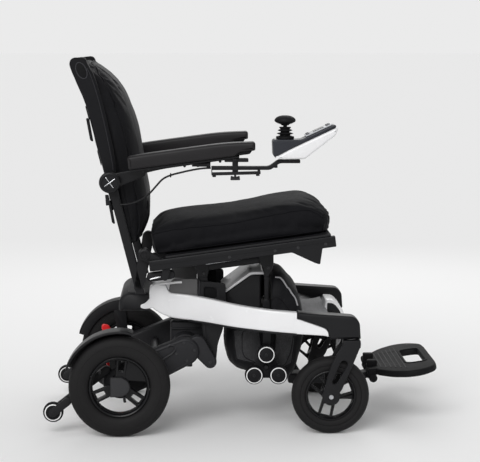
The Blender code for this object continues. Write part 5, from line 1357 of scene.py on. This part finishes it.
def make_seat_support():
    rear, front = (-0.11, 0.446), (0.062, 0.4686)
    parts = []
    for side in (-1, 1):
        middle = side * 0.128
        drop = plate("support_drop", [capsule(rear, (-0.0865, 0.176), 0.0115, 0.0165, 12)], middle, 0.0158, 0.0024)
        bracket = mm([(-125, 440), (-89, 446), (-89, 404, 4), (-92.5, 388, 3), (-115, 388, 4), (-124, 408, 6)])
        clasp = slab("support_rear_clasp", bracket, 0.003, 4, side * 0.13, 0.022, 0.0024)
        hook = mm([(40, 462), (80, 466), (80, 424, 6), (74.5, 402, 10), (66, 388, 4), (58, 388, 4), (54, 408, 10),
            (42, 426, 10)])
        claw = slab("support_front_hook", hook, 0.003, 5, side * 0.13, 0.022, 0.0024)
        leg = plate("support_leg", [capsule((0.062, 0.43), (0.062, 0.305), 0.0062, 0.0062, 10)], middle, 0.013, 0.002)
        foot = plate("support_foot", [capsule((0.062, 0.32), (0.062, 0.3085), 0.01, 0.011, 12)], middle, 0.0156, 0.0022)
        tie = plate("support_tie", [capsule((rear[0], rear[1] - 0.034), (front[0], front[1] - 0.034), 0.0085, 0.0085,
            10)], middle, 0.0152, 0.0024)
        pin = rod("support_pin", (-0.086, side * 0.13, 0.176), (-0.086, side * 0.1655, 0.176), 0.0058, 24)
        parts += [drop, clasp, claw, leg, foot, tie, pin]
    for x, z in (rear, front):
        parts.append(rod("support_cross_bar", (x, -0.205, z), (x, 0.205, z), 0.009, 32, 0.0012))
    support = welded("seat_support_cover", *parts)
    hand_over(support, "frame", "black_enamel", ["seat_support"])
    for word, side in SIDES:
        # A thin steel rod laid on the top edge of each tie bar: a painted highlight, the bright line where that edge
        # catches the light.
        highlight_rod = cord_mesh(f"seat_support_highlight_rod_{word}", [Vector((-0.096, side * 0.14, 0.4225)),
            Vector((0.048, side * 0.14, 0.443))], 0.0015)
        hand_over(highlight_rod, "frame", "dull_steel")
        nuts = screws(f"seat_support_nuts_{word}", [(-0.101, side * 0.1408, 0.3985), (0.066, side * 0.1408, 0.412)],
            0.0046, side, 0.0022)
        hand_over(nuts, "frame", "hub_grey")


def make_control_box():
    rows = []
    ends = mm([(-147.5, 12), (-144, 4), (-138, 0), (138, 0), (144, 4), (147.5, 12)])
    for y, cut in ends:
        loop = rounded([(-0.3225 + cut, 0.3015 + cut * 0.5, 0.006), (-0.242, 0.3015 + cut * 0.5, 0.003),
            (-0.242, 0.3485 - cut * 0.5, 0.003), (-0.304 + cut, 0.3485 - cut * 0.5, 0.012),
            (-0.3225 + cut, 0.331 - cut * 0.5, 0.012)], 0.004, 5)
        rows.append([Vector((x, y, z)) for x, z in loop])
    box = skin("control_box_cover", rows, 35.0)
    lid = block("control_box_lid", (-0.299, -0.13, 0.3478), (-0.244, 0.13, 0.3492), 0.0006, 1)
    piece = welded("control_box_cover", box, lid)
    hand_over(piece, "frame", "black_plastic", ["control_box"])


# Back frame and its cloth

SLEEVE = mm([(650, -348, -321.5), (672, -354, -324), (700, -362.5, -327.5), (740, -374, -335), (780, -383, -343),
    (831, -396, -354.5), (880, -416, -368), (912, -429, -379), (930, -435, -388), (940, -437.8, -393.5),
    (948, -437, -396.5), (953.5, -433.5, -400.5), (956.2, -428, -407)])


def make_back_frame():
    parts = []
    for side in (-1, 1):
        rows = []
        for i in range(15):
            z = 0.3545 + (0.93 - 0.3545) * i / 14
            half = 0.0118
            outer = 0.2015 if z < 0.64 else 0.1985
            loop = rounded(oblong(post_x(z) - half, post_x(z) + half, 0.1785, outer), 0.0042, 4)
            rows.append([Vector((x, side * y, z)) for x, y in loop])
        parts.append(skin("back_post", rows, 40.0))
        parts.append(plate("back_foot", [capsule((post_x(0.372), 0.372), SEAT_HINGE, 0.013, 0.0165, 14)], side * 0.1935,
            0.016, 0.0024))
        parts.append(plate("back_arm_lug", [capsule(ARM_PIVOT, (post_x(0.6), 0.6), 0.015, 0.012, 12)], side * 0.196,
            0.01, 0.002))
    for z in (0.54, 0.715, 0.89):
        parts.append(rod("back_cross_bar", (post_x(z), -0.179, z), (post_x(z), 0.179, z), 0.0078, 28))
    frame_piece = welded("back_frame_cover", *parts)
    hand_over(frame_piece, "backrest", "satin_black", ["back_frame"])
    for word, side in SIDES:
        tab = mm([(-352, 610, 2), (-343, 610, 2), (-338, 584, 2), (-350, 582, 2)])
        clip = slab(f"back_wire_tab_{word}", tab, 0.002, 3, side * 0.203, 0.003, 0.0008)
        hand_over(clip, "backrest", "black_plastic")


def make_back_cloth():
    for word, side in SIDES:
        rows = []
        for z, rear, front in smooth_rows(SLEEVE, 5):
            slant = 0.1
            loop = rounded([(rear, 0.1735), (front, 0.175), (front, 0.2008), (rear, 0.2016)], 0.0075, 5)
            rows.append([Vector((x, side * y, z + (x - (rear + front) / 2) * slant)) for x, y in loop])
        sleeve = skin("back_sleeve", rows, 60.0)
        divide = sleeve.modifiers.new("fine_cloth", "SUBSURF")
        divide.subdivision_type = "SIMPLE"
        divide.levels = 1
        apply_all(sleeve)

        def everywhere(spot, normal):
            return 0.25 if abs(normal.y) > 0.6 else 1.0

        wrinkle(sleeve, 0.0016, 0.026, (1.0, 1.0, 0.35), everywhere)
        shade_soft(sleeve, 60.0)
        sleeve.name = f"back_sleeve_{word}"
        hand_over(sleeve, "backrest", "back_cloth")
        centre, lean = Vector((-0.4085, 0.0, 0.9235)), Vector((-0.42, 0.0, 0.91)).normalized()
        across = Vector((lean.z, 0.0, -lean.x))
        oval = [centre + lean * 0.0215 * math.sin(math.radians(a)) + across * 0.0125 * math.cos(math.radians(a))
            + Vector((0.0, side * 0.201, 0.0)) for a in range(0, 360, 12)]
        roll = cord_mesh(f"back_sleeve_roll_{word}", oval, 0.0013, closed=True)
        hand_over(roll, "backrest", "thread")
        # A flat matt black oval inside the roll, level with the cloth: painted shade that stands for the hollow of the
        # sleeve's opening.
        hollow = [(centre + lean * 0.018 * math.sin(math.radians(a)) + across * 0.0095 * math.cos(math.radians(a)))
            for a in range(0, 360, 12)]
        dark = plate(f"back_sleeve_shaded_hollow_{word}", [[(p.x, p.z) for p in hollow]], side * 0.201, 0.0016, 0.0006)
        hand_over(dark, "backrest", "matt_black")
        stitch = [Vector((x, side * 0.206, z)) for x,
            z in [(SLEEVE[i][2] - 0.0065, SLEEVE[i][0]) for i in range(1, len(SLEEVE) - 4)]]
        spots = on_surface(sleeve, smooth_line(stitch, 5), 0.0001)
        hand_over(cord_mesh(f"back_sleeve_stitch_{word}", spots, 0.0006), "backrest", "thread")
        for place, z in enumerate((0.77, 0.56)):
            tab = slab(f"back_strap_{word}_{place + 1}",
                [(post_x(z) - 0.019, z - 0.022), (post_x(z) - 0.012, z - 0.026), (post_x(z) - 0.022, z + 0.032),
                (post_x(z) - 0.029, z + 0.034)], 0.003, 3, side * 0.188, 0.024, 0.001)
            hand_over(tab, "backrest", "sling_cloth")
    rows = []
    for i in range(33):
        z = 0.52 + (0.925 - 0.52) * i / 32
        loop = []
        for k in range(25):
            y = -0.179 + 0.358 * k / 24
            sag = 0.006 * (1 - (y / 0.179) ** 2) * math.sin(math.pi * i / 32)
            loop.append(Vector((post_x(z) - 0.0128 - sag, y, z)))
        loop += [Vector((p.x + 0.0022, p.y, p.z)) for p in reversed(loop)]
        rows.append(loop)
    sling = skin("back_sling", rows, 50.0)
    hand_over(sling, "backrest", "sling_cloth")
    bands = []
    for z in (0.585, 0.7, 0.815):
        band_rows = []
        for k in range(25):
            y = -0.18 + 0.36 * k / 24
            sag = 0.0062 * (1 - (y / 0.18) ** 2) * math.sin(math.pi * (z - 0.52) / 0.405)
            x = post_x(z) - 0.014 - sag
            lean = 0.254
            band_rows.append([Vector((x + lean * 0.017, y, z - 0.017)), Vector((x - lean * 0.017, y, z + 0.017)),
                Vector((x - lean * 0.017 - 0.0016, y, z + 0.017)), Vector((x + lean * 0.017 - 0.0016, y, z - 0.017))])
        bands.append(skin("back_band", band_rows, 40.0))
    hand_over(welded("back_bands", *bands), "backrest", "bag_cloth")


# Armrests and controller

PAD_REAR, PAD_FRONT = -0.293, 0.027


def pad_low(x):
    """Underside of an armrest pad at x."""
    return 0.679 + (x + 0.274) * 0.128


def make_armrests():
    for word, side in SIDES:
        body = f"armrest_{word}"
        pad = [(PAD_REAR + 0.004, pad_low(PAD_REAR) + 0.0005, 0.006), (-0.025, pad_low(-0.025), 0.002),
            (-0.013, pad_low(-0.013) + 0.008, 0.004), (PAD_FRONT, pad_low(PAD_FRONT) + 0.0085, 0.004),
            (PAD_FRONT, 0.7475, 0.007), (-0.05, 0.7445, 0.05), (-0.15, 0.7315, 0.05), (PAD_REAR + 0.04, 0.7175, 0.03),
            (PAD_REAR, 0.7105, 0.007)]
        foam = slab(f"armrest_pad_cover_{word}", pad, 0.004, 6, side * 0.25, 0.05, 0.0075)
        hand_over(foam, body, "arm_foam", [f"armrest_pad_{word}"])
        tray = slab(f"armrest_pad_tray_{word}", [(-0.024, pad_low(-0.024) + 0.001, 0.001),
            (0.013, pad_low(0.013) + 0.001, 0.004), (0.02, pad_low(0.02) + 0.01, 0.003),
            (-0.012, pad_low(-0.012) + 0.009, 0.002)], 0.002, 4, side * 0.25, 0.038, 0.002)
        hand_over(tray, body, "matt_black")
        low_rear, low_front = PAD_REAR + 0.01, PAD_FRONT - 0.04
        strap = [(low_rear, pad_low(low_rear) - 0.02, 0.006), (low_rear + 0.08, pad_low(low_rear + 0.08) - 0.012, 0.02),
            (low_front, pad_low(low_front) - 0.01, 0.004), (low_front, pad_low(low_front) - 0.0006, 0.002),
            (low_rear, pad_low(low_rear) - 0.0006, 0.004)]
        arm = slab("armrest_strap", strap, 0.004, 5, side * 0.2077, 0.009, 0.002)
        hole = circle(ARM_PIVOT, 0.0095, 32)
        link = plate("armrest_link", [capsule(ARM_PIVOT, (low_rear + 0.024, pad_low(low_rear) - 0.012), 0.02, 0.0108,
            14), hole], side * 0.2077, 0.0088, 0.002)
        flange = [(low_rear, pad_low(low_rear) - 0.0053), (low_front, pad_low(low_front) - 0.0053),
            (low_front, pad_low(low_front) - 0.0004), (low_rear, pad_low(low_rear) - 0.0004)]
        shelf = slab("armrest_flange", flange, 0.001, 2, side * 0.238, 0.058, 0.001)
        piece = welded(f"armrest_arm_cover_{word}", arm, link, shelf)
        hand_over(piece, body, "satin_black", [f"armrest_arm_{word}"])
        spots = [(x, side * 0.2122, pad_low(x) - 0.0115) for x in (-0.255, -0.15, -0.06)]
        hand_over(screws(f"armrest_screws_{word}", spots, 0.0036, side), body, "hub_grey")
        make_knob(word, side)


def make_knob(word, side):
    """The round knob at the armrest's pivot, with its plated cross."""
    centre = at_side(ARM_PIVOT, side * 0.2229)
    profile = mm([(0, -9.8), (25.5, -9.8), (26.8, -8), (27, 5), (26.2, 7.8), (24, 9.6), (20.5, 9.8), (19.8, 8), (0, 8)])
    disc = turned("armrest_knob", [(r, -side * h) for r, h in profile], centre, "Y", 56)
    stem = turned("armrest_stem", mirrored([(0.0, -0.012), (0.0088, -0.012)]), at_side(ARM_PIVOT, side * 0.207), "Y",
        32)
    body = f"armrest_knob_{word}"
    hand_over(welded(f"armrest_knob_cover_{word}", disc, stem), body, "satin_black", [f"armrest_knob_{word}"])
    bars = []
    for turn in (0.62, -0.95):
        reach = Vector((math.cos(turn), 0.0, math.sin(turn))) * 0.0165
        middle = Vector(at_side(ARM_PIVOT, side * 0.2312))
        bars.append(rod("knob_cross", middle - reach, middle + reach, 0.0012, 12, 0.0004))
    hand_over(welded(f"armrest_knob_cross_{word}", *bars), body, "chrome")


def make_controller():
    y = CONTROLLER_Y
    shell = mm([(74.5, 708.5, 3), (86, 704.5, 4), (101, 704, 10), (150, 705, 12), (158, 711, 10), (227, 764, 6),
        (232.5, 779, 3), (229, 783.5, 3), (113, 729, 10)])
    white = slab("controller_shell_cover", shell, 0.003, 7, y, 0.068, 0.0062)
    hand_over(white, "controller", "white_plastic", ["controller_shell"])
    panel = mm([(74.5, 710, 1), (113, 729.8, 10), (228.5, 784.3, 2), (226.2, 790.3, 3), (220, 789.5, 4),
        (150, 757.8, 10), (144, 754.5, 4), (131, 753.4, 1), (74, 753.4, 3), (70, 749, 3), (71.2, 715, 3)])
    dark = slab("controller_panel_body", panel, 0.002, 6, y, 0.064, 0.0026)
    hand_over(dark, "controller", "navy_plastic", ["controller_panel"])
    keypad = mm([(153, 760, 1), (219, 789.8, 1), (217.6, 793, 1), (151.6, 763.2, 1)])
    pale = slab("controller_keypad", keypad, 0.001, 2, y, 0.056, 0.0008)
    hand_over(pale, "controller", "pale_plate")
    slope = math.atan2(0.7898 - 0.76, 0.219 - 0.153)
    along, up = Vector((math.cos(slope), 0.0, math.sin(slope))), Vector((-math.sin(slope), 0.0, math.cos(slope)))
    start = Vector((0.1516, y, 0.7632))
    buttons = []
    for share, across, size in ((0.1, -0.018, 0.0042), (0.1, 0.0, 0.0042), (0.1, 0.018, 0.0042), (0.86, -0.012, 0.0055),
            (0.86, 0.012, 0.0055)):
        spot = start + along * 0.0724 * share + Vector((0, across, 0))
        buttons.append(rod("controller_button", spot - up * 0.001, spot + up * 0.0022, size, 24, 0.0008))
    hand_over(welded("controller_buttons", *buttons), "controller", "button_grey")
    spot = start + along * 0.036
    screen = block("controller_screen", (-0.014, -0.02, -0.0004), (0.014, 0.02, 0.0008), 0.0004, 1)
    screen.rotation_euler = (0.0, -slope, 0.0)
    screen.location = spot + up * 0.0004
    hand_over(settle(screen), "controller", "screen_black")
    bar = mm([(-82.8, 676.3, 1), (66, 676.3, 8), (88, 693, 6), (140, 693, 2), (140, 702.4, 2), (84.5, 702.4, 6),
        (62, 685.8, 8), (-82.8, 685.8, 1)])
    body = slab("controller_slide", bar, 0.001, 5, y, 0.0196, 0.0012)
    strip = slab("controller_strip", mm([(-82.8, 663.5, 2), (40, 666.5, 2), (40, 674.5, 2), (-82.8, 671.8, 2)]), 0.002,
        3, -0.2705, 0.0036, 0.0008)
    ends = [block("controller_strip_end", (-0.0829, -0.2722, 0.664), (-0.0808, -0.242, 0.679), 0.0006, 1),
        block("controller_strip_end", (0.033, -0.2722, 0.668), (0.039, -0.242, 0.679), 0.0008, 1)]
    feet = [turned("controller_foot", mm([(0, -7), (3.8, -7), (4.6, -6), (4.6, 0), (0, 0)]), (x, yy, z), "Z", 20) for x,
        yy, z in ((-0.076, -0.2665, 0.6665), (0.033, -0.2665, 0.669), (0.079, y, 0.688))]
    piece = welded("controller_bar_cover", body, strip, *ends, *feet)
    hand_over(piece, "controller", "black_enamel", ["controller_bar"])


def make_clamp():
    y = CONTROLLER_Y
    high = pad_low(-0.023) - 0.0058
    cheeks = [block("clamp_cheek", (-0.03, y + way * 0.0106, 0.667), (-0.016, y + way * 0.0168, high), 0.001)
        for way in (-1, 1)]
    bridge = block("clamp_bridge", (-0.03, y - 0.0168, 0.6864), (-0.016, y + 0.0168, high), 0.001, 2)
    base = block("clamp_base", (-0.03, y - 0.0168, 0.667), (-0.016, y + 0.0168, 0.6756), 0.001, 2)
    arm = block("clamp_arm", (-0.05, y - 0.012, high - 0.009), (0.01, y + 0.012, high + 0.0002), 0.002, 2)
    piece = welded("controller_clamp_cover", *cheeks, bridge, base, arm)
    hand_over(piece, "armrest_right", "black_plastic", ["controller_clamp"])
    x = -0.023
    shaft = rod("wing_shaft", (x, y, 0.6575), (x, y, 0.6752), 0.0028, 16)
    wing = [(x - 0.0125, 0.65, 0.003), (x + 0.0125, 0.65, 0.003), (x + 0.011, 0.662, 0.004), (x + 0.0045, 0.659, 0.003),
        (x - 0.0045, 0.659, 0.003), (x - 0.011, 0.662, 0.004)]
    head = slab("wing_head", wing, 0.003, 5, y, 0.004, 0.0014)
    hand_over(welded("clamp_wing_bolt_cover", shaft, head), "wing_bolt", "hub_grey", ["clamp_wing_bolt"])
    plug = turned("controller_plug", mm([(0, -24), (5.2, -24), (6, -22.5), (6, -12), (7.2, -11), (7.2, -7), (6.4, -6),
        (6.4, 12), (8, 13), (8, 21.5), (7, 22.5), (0, 22.5)]), (-0.1075, y, 0.6905), "X", 28)
    hand_over(plug, "armrest_right", "black_plastic")


def make_joystick():
    x, y, low = JOYSTICK
    folds = mm([(11.8, 29.6), (12.2, 30), (14.4, 30), (15.2, 29), (14.8, 28), (12.6, 26), (12.4, 24.6), (18.4, 22.2),
        (18.4, 21), (11.2, 18.2), (11.4, 16.8), (20.6, 14.2), (20.6, 13), (12.8, 10.2), (13.2, 8.6), (22.8, 6.2),
        (22.8, 1), (22, 0.3), (6, 0.3)])
    boot = turned("joystick_boot_cover", folds, (x, y, low), "Z", 48)
    hand_over(shade_soft(boot, 30.0), None, "soft_rubber", ["joystick_boot"])
    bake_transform(boot)
    cap = mm([(0, 59), (8, 58.7), (15, 57.2), (21.5, 54), (25.5, 50), (26.8, 46.6), (26.2, 43.8), (24, 41.8),
        (18, 38.8), (12, 36.6), (9.6, 35), (8.8, 33.7), (5, 33.5), (4.8, 4.2), (0, 4.2)])
    knob = turned("joystick_knob_cover", cap, (x, y, low), "Z", 56)
    hand_over(knob, "joystick", "soft_rubber", ["joystick_knob"])


CABLE_ROUTE = mm([(-84.2, -250, 681), (-105, -250, 680), (-130, -247, 676), (-160, -242, 669), (-185, -238, 662),
    (-205, -235, 652), (-222, -231, 634), (-238, -227, 616), (-256, -222, 602), (-276, -215, 592), (-295, -209, 586.5),
    (-313, -205.1, 585)])


def make_cable():
    line = smooth_line(CABLE_ROUTE, 6)
    lead = cord_mesh("controller_lead", line, 0.0025)
    hand_over(lead, "armrest_right", "cable_rubber", ["controller_cable"])
    clip = ring("controller_lead_clip", (-0.185, -0.238, 0.662), 0.0042, 0.0016, "X", 24, 8)
    hand_over(clip, "armrest_right", "black_plastic")


# Drive units, fenders and freewheel levers


def arc_band(centre, inner, outer, start, end, steps=40):
    """The outline of a part of a ring."""
    first = [polar(outer, start + (end - start) * k / steps, centre) for k in range(steps + 1)]
    last = [polar(inner, start + (end - start) * k / steps, centre) for k in range(steps + 1)]
    return first + last[::-1]


def make_drive_units():
    axle, motor = REAR_AXLE, (-0.15, 0.205)
    pivot = (-0.086, 0.176)
    for word, side in SIDES:
        arm = plate("drive_arm", [capsule(axle, motor, 0.0455, 0.0355, 24)], side * 0.188, 0.0445, 0.007)
        rim = plate("drive_arm_rim", [capsule(axle, motor, 0.04, 0.03, 24), capsule(axle, motor, 0.037, 0.027, 24)],
            side * 0.2098, 0.0026, 0.0008)
        ear = plate("drive_ear", [capsule((-0.119, 0.22), pivot, 0.024, 0.0165, 20)], side * 0.184, 0.034, 0.004)
        body = turned("drive_motor", mirrored([(0.0, -0.053), (0.034, -0.053), (0.0375, -0.05)]),
            at_side(motor, side * 0.1135), "Y", 48)
        cover = block("drive_cover", (-0.1895, side * 0.0665, 0.1855), (-0.0985, side * 0.1118, 0.2688), 0.008, 4)
        lid = block("drive_cover_lid", (-0.188, side * 0.06, 0.248), (-0.1, side * 0.1185, 0.252), 0.0018)
        unit = welded(f"drive_unit_body_{word}", arm, rim, ear, body, cover, lid)
        hand_over(unit, "drive_frame", "cast_metal", [f"drive_unit_{word}"])
        places = [polar(0.0235, math.radians(a), motor) for a in (10, 100, 190, 280)]
        spots = [(x, side * 0.2098, z) for x, z in places] + [at_side(pivot, side * 0.2008)]
        heads = screws(f"drive_unit_screws_{word}", spots, 0.0042, side)
        hand_over(heads, "drive_frame", "hub_grey")
        lead = mm([(-196, 218), (-190, 224), (-179, 222), (-176, 214), (-183, 203), (-198, 193), (-212, 184)])
        wire_line = smooth_line([(x, side * 0.2135, z) for x, z in lead], 8)
        hand_over(cord_mesh(f"drive_unit_lead_{word}", wire_line, 0.0022), "drive_frame", "hub_grey")
        foot = block(f"drive_unit_foot_{word}", (-0.156, side * 0.145, 0.157), (-0.132, side * 0.164, 0.174), 0.003, 3)
        hand_over(foot, "drive_frame", "grey_plastic")
        tongue = slab("pivot_tongue", [(-0.106, 0.29), (-0.104, 0.19, 0.012)] + circle(TONGUE_BOLT, 0.017, 12,
            math.radians(170), math.radians(180)) + [(-0.066, 0.215, 0.01), (-0.052, 0.256), (-0.048, 0.29)], 0.004, 4,
            side * 0.15, 0.022, 0.003)
        rib = slab("pivot_tongue_rib", mm([(-105, 289), (-103, 200), (-96, 200), (-97.5, 289)]), 0.002, 3,
            side * 0.1625, 0.003, 0.001)
        collar = turned("pivot_collar", [(0.0, 0.002 * side), (0.013, 0.002 * side), (0.013, -0.0022 * side),
            (0.0115, -0.0036 * side), (0.0, -0.0036 * side)], at_side(TONGUE_BOLT, side * 0.161), "Y", 36)
        piece = welded(f"pivot_tongue_{word}", tongue, rib, collar)
        hand_over(piece, "frame", "black_enamel")
        bolt = screws(f"pivot_bolt_{word}", [at_side(TONGUE_BOLT, side * 0.164)], 0.0046, side, 0.0016)
        hand_over(bolt, "frame", "dull_steel")


def make_fenders():
    start, end = math.radians(76), math.radians(161)
    for word, side in SIDES:
        rows = []
        for i in range(61):
            angle = start + (end - start) * i / 60
            near_end = min(1.0, min(i, 60 - i) / 3.0)
            low, high = 0.1404, 0.1404 + 0.0038 * (0.55 + 0.45 * near_end)
            section = rounded([(low, 0.2302), (high, 0.2302), (high, 0.286), (high - 0.0004, 0.2898),
                (high - 0.006, 0.2906), (high - 0.0062, 0.288), (low, 0.287)], 0.001, 2)
            rows.append([Vector((REAR_AXLE[0] + r * math.cos(angle), side * y, REAR_AXLE[1] + r * math.sin(angle)))
                for r, y in section])
        band = skin("fender_band", rows, 45.0)
        web = plate("fender_web", [arc_band(REAR_AXLE, 0.117, 0.1408, start, end)], side * 0.2318, 0.0036, 0.001)
        stay = slab("fender_stay", [polar(0.04, math.radians(84), REAR_AXLE), polar(0.12, math.radians(91), REAR_AXLE),
            polar(0.12, math.radians(108), REAR_AXLE), polar(0.042, math.radians(124), REAR_AXLE)], 0.006, 4,
            side * 0.2318, 0.0034, 0.001)
        fender = welded(f"rear_fender_cover_{word}", band, web, stay)
        hand_over(fender, "drive_frame", "satin_black", [f"rear_fender_{word}"])


def make_freewheel_levers():
    for word, side in SIDES:
        shape = rounded(mm([(-347, 144, 6), (-330, 143, 6), (-327, 156, 8), (-348, 184, 20), (-356, 196, 10),
            (-364, 213, 6), (-382, 216, 6), (-385, 202, 8), (-370, 183, 20), (-352, 162, 10)]), 0.004, 5)
        lever = plate("freewheel_lever", [shape], side * 0.1587, 0.0114, 0.0034)
        thumb = turned("freewheel_thumb", mirrored([(0.0, -0.006), (0.0072, -0.006), (0.0084, -0.0048)]),
            (-0.3745, side * 0.1587, 0.206), "Y", 28)
        piece = welded(f"freewheel_lever_cover_{word}", lever, thumb)
        hand_over(piece, f"freewheel_lever_{word}", "red_plastic", [f"freewheel_lever_{word}"])


# Finishes of the CAD nodes

NODE_FINISH = {"white_enamel": ("side_rail", "footrest_hanger"), "white_plastic": ("battery_lid", "controller_shell"),
    "grey_plastic": ("rear_fender",), "panel_grey": ("controller_panel",), "cast_metal": ("drive_unit", "rear_rim",
    "caster_rim", "drive_cross_tube"), "tyre_rubber": ("rear_tyre", "caster_tyre"),
    "soft_rubber": ("joystick_boot", "joystick_knob", "transport_rollers", "anti_tip_wheel"),
    "arm_foam": ("armrest_pad",), "red_plastic": ("freewheel_lever",), "cable_rubber": ("controller_cable",),
    "dull_steel": ("clamp_wing_bolt",), "black_plastic": ("rail_cap", "battery_case", "control_box", "footplate",
    "footrest_beam", "armrest_knob", "seat_base", "latch_lever", "controller_clamp", "controller_bar"),
    "black_enamel": ("front_cross_tube", "mid_cross_frame", "seat_rail", "seat_support", "back_frame", "armrest_arm",
    "anti_tip_arm", "caster_fork"),}


def finish_of(node_name):
    best, found = -1, "black_enamel"
    for finish, stems in NODE_FINISH.items():
        for stem in stems:
            if node_name.startswith(stem) and len(stem) > best:
                best, found = len(stem), finish
    return found


def dress_frame():
    for name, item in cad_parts.items():
        item.data.materials.clear()
        item.data.materials.append(FINISHES[finish_of(name)])


# Stage


def make_stage():
    scene = bpy.context.scene
    scene.view_settings.view_transform = "Standard"
    camera_data = bpy.data.cameras.new("camera")
    camera_data.lens = CAMERA_LENS
    camera_data.sensor_width = 36.0
    camera_data.clip_end = 400.0
    camera = linked("camera", camera_data)
    camera.location = CAMERA_PLACE
    camera.rotation_euler = (CAMERA_TILT, 0.0, CAMERA_TURN)
    scene.camera = camera
    active()
    bpy.ops.mesh.primitive_plane_add(size=FLOOR_SIZE, location=(0, 0, -0.0004))
    floor = settle(fresh("studio_floor"))
    material = bpy.data.materials.new("studio_floor")
    material.use_nodes = True
    for field, value in (("Base Color", FLOOR_COLOUR), ("Roughness", 0.9), ("Specular IOR Level", 0.0)):
        material.node_tree.nodes["Principled BSDF"].inputs[field].default_value = value
    floor.data.materials.append(material)
    world = bpy.data.worlds.new("studio")
    scene.world = world
    world.use_nodes = True
    tree = world.node_tree
    background = tree.nodes["Background"]
    background.inputs["Color"].default_value = (1, 1, 1, 1)
    background.inputs["Strength"].default_value = SKY_STRENGTH
    backdrop = node(tree, "ShaderNodeBackground", Color=BACKDROP_COLOUR, Strength=1.0)
    path = node(tree, "ShaderNodeLightPath")
    mix = node(tree, "ShaderNodeMixShader")
    wire(tree, path.outputs["Is Camera Ray"], mix.inputs["Fac"])
    wire(tree, background.outputs[0], mix.inputs[1])
    wire(tree, backdrop.outputs[0], mix.inputs[2])
    wire(tree, mix.outputs[0], tree.nodes["World Output"].inputs["Surface"])
    for name, place, strength, spread in SUNS:
        add_lamp(name, "SUN", place, strength).angle = math.radians(spread)
    for name, place, size, power in LAMPS:
        lamp = add_lamp(name, "AREA", place, power)
        lamp.shape = "DISK"
        lamp.size = size


def add_lamp(name, kind, place, energy):
    """A lamp that looks at the middle of the chair."""
    data = bpy.data.lights.new(name, kind)
    data.energy = energy
    lamp = linked(name, data)
    lamp.location = place
    lamp.rotation_euler = (Vector((0, 0, 0.45)) - Vector(place)).to_track_quat("-Z", "Y").to_euler()
    return data


# Panel of sizes and colours, and the steps that use them


def size_setting(name, default, description):
    """A length of the sidebar."""
    return FloatProperty(name=name, description=description, default=default, min=0.0, max=0.05, unit="LENGTH",
        precision=4)


class ChairSizes(bpy.types.PropertyGroup):
    seat_crown: size_setting("Seat crown", 0.014, "How far the seat cushion rises in its middle")
    seat_piping: size_setting("Seat piping", 0.002, "Half the thickness of the seat cushion's piping")
    back_piping: size_setting("Back piping", 0.0018, "Half the thickness of the back cushion's piping")


def colour_setting(name, default, description):
    """A colour of the sidebar."""
    return FloatVectorProperty(name=name, description=description, subtype="COLOR", default=default, size=3, min=0,
        max=1)


class ChairColours(bpy.types.PropertyGroup):
    black: colour_setting("Black", (0.012, 0.012, 0.0135), "Enamelled tubes and moulded covers")
    white: colour_setting("White", (0.78, 0.78, 0.79), "Side rails, hanger and battery lid")
    cloth: colour_setting("Cloth", (0.01, 0.01, 0.0118), "Cushion covers and bag")
    tyre: colour_setting("Tyre", (0.013, 0.0125, 0.013), "Tyre rubber")
    lever: colour_setting("Lever", (0.62, 0.01, 0.012), "Freewheel levers")


def step(name, label, words, *jobs):
    """An operator that runs the given jobs in order."""

    def execute(self, context):
        for job in jobs:
            job()
        return {"FINISHED"}

    return type(f"CHAIR_OT_{name}", (bpy.types.Operator,), {"bl_idname": f"chair.{name}", "bl_label": label,
        "__doc__": words, "execute": execute})


def finishes_from_scene():
    make_finishes(bpy.context.scene.chair_colours)


STEPS = [step("stage", "Stage", "Camera, floor and lamps", make_stage),
    step("finishes", "Finishes", "Materials of the carried frame", finishes_from_scene, dress_frame),
    step("seat_cushion", "Seat cushion", "The stuffed seat cushion with its piping", make_seat_cushion),
    step("back_cushion", "Back cushion", "The stuffed back cushion with its piping", make_back_cushion),
    step("wheels", "Wheels", "Driven wheels, casters, rollers and anti-tip wheels", make_rear_wheels, make_casters,
    make_caster_forks, make_transport_rollers, make_anti_tip),
    step("rails", "Side rails", "White side rails, their caps and the battery", make_side_rails, make_rail_horns,
    make_rail_caps, make_battery), step("bag", "Storage bag", "The sagging bag under the seat with its nets and piping",
    make_bag), step("footrest", "Footrest", "Hanger, beam and footplate", make_footrest, make_footplate),
    step("drive", "Drive", "Drive units, fenders and freewheel levers", make_drive_units, make_fenders,
    make_freewheel_levers), step("seat_frame", "Seat frame", "Seat rails, support frame, base and control box",
    make_seat_rails, make_seat_base, make_seat_support, make_control_box),
    step("back", "Back", "Back frame with its sleeves and sling", make_back_frame, make_back_cloth),
    step("arms", "Armrests", "Armrests with their pads and knobs", make_armrests),
    step("controller", "Controller", "Controller, joystick, clamp and lead", make_controller, make_clamp, make_joystick,
    make_cable),]


class CHAIR_PT_panel(bpy.types.Panel):
    bl_label = "Folding power wheelchair"
    bl_idname = "CHAIR_PT_panel"
    bl_space_type = "VIEW_3D"
    bl_region_type = "UI"
    bl_category = "Wheelchair"

    def draw(self, context):
        for group in (context.scene.chair_sizes, context.scene.chair_colours):
            for name in type(group).__annotations__:
                self.layout.prop(group, name)
        for item in STEPS:
            self.layout.operator(item.bl_idname)


CLASSES = [ChairSizes, ChairColours, *STEPS, CHAIR_PT_panel]


def register():
    for item in CLASSES:
        bpy.utils.register_class(item)
    bpy.types.Scene.chair_sizes = PointerProperty(type=ChairSizes)
    bpy.types.Scene.chair_colours = PointerProperty(type=ChairColours)


def unregister():
    del bpy.types.Scene.chair_colours
    del bpy.types.Scene.chair_sizes
    for item in reversed(CLASSES):
        bpy.utils.unregister_class(item)


def main():
    register()
    for item in STEPS:
        group, name = item.bl_idname.split(".")
        getattr(getattr(bpy.ops, group), name)()
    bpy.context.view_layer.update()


if __name__ == "__main__":
    main()
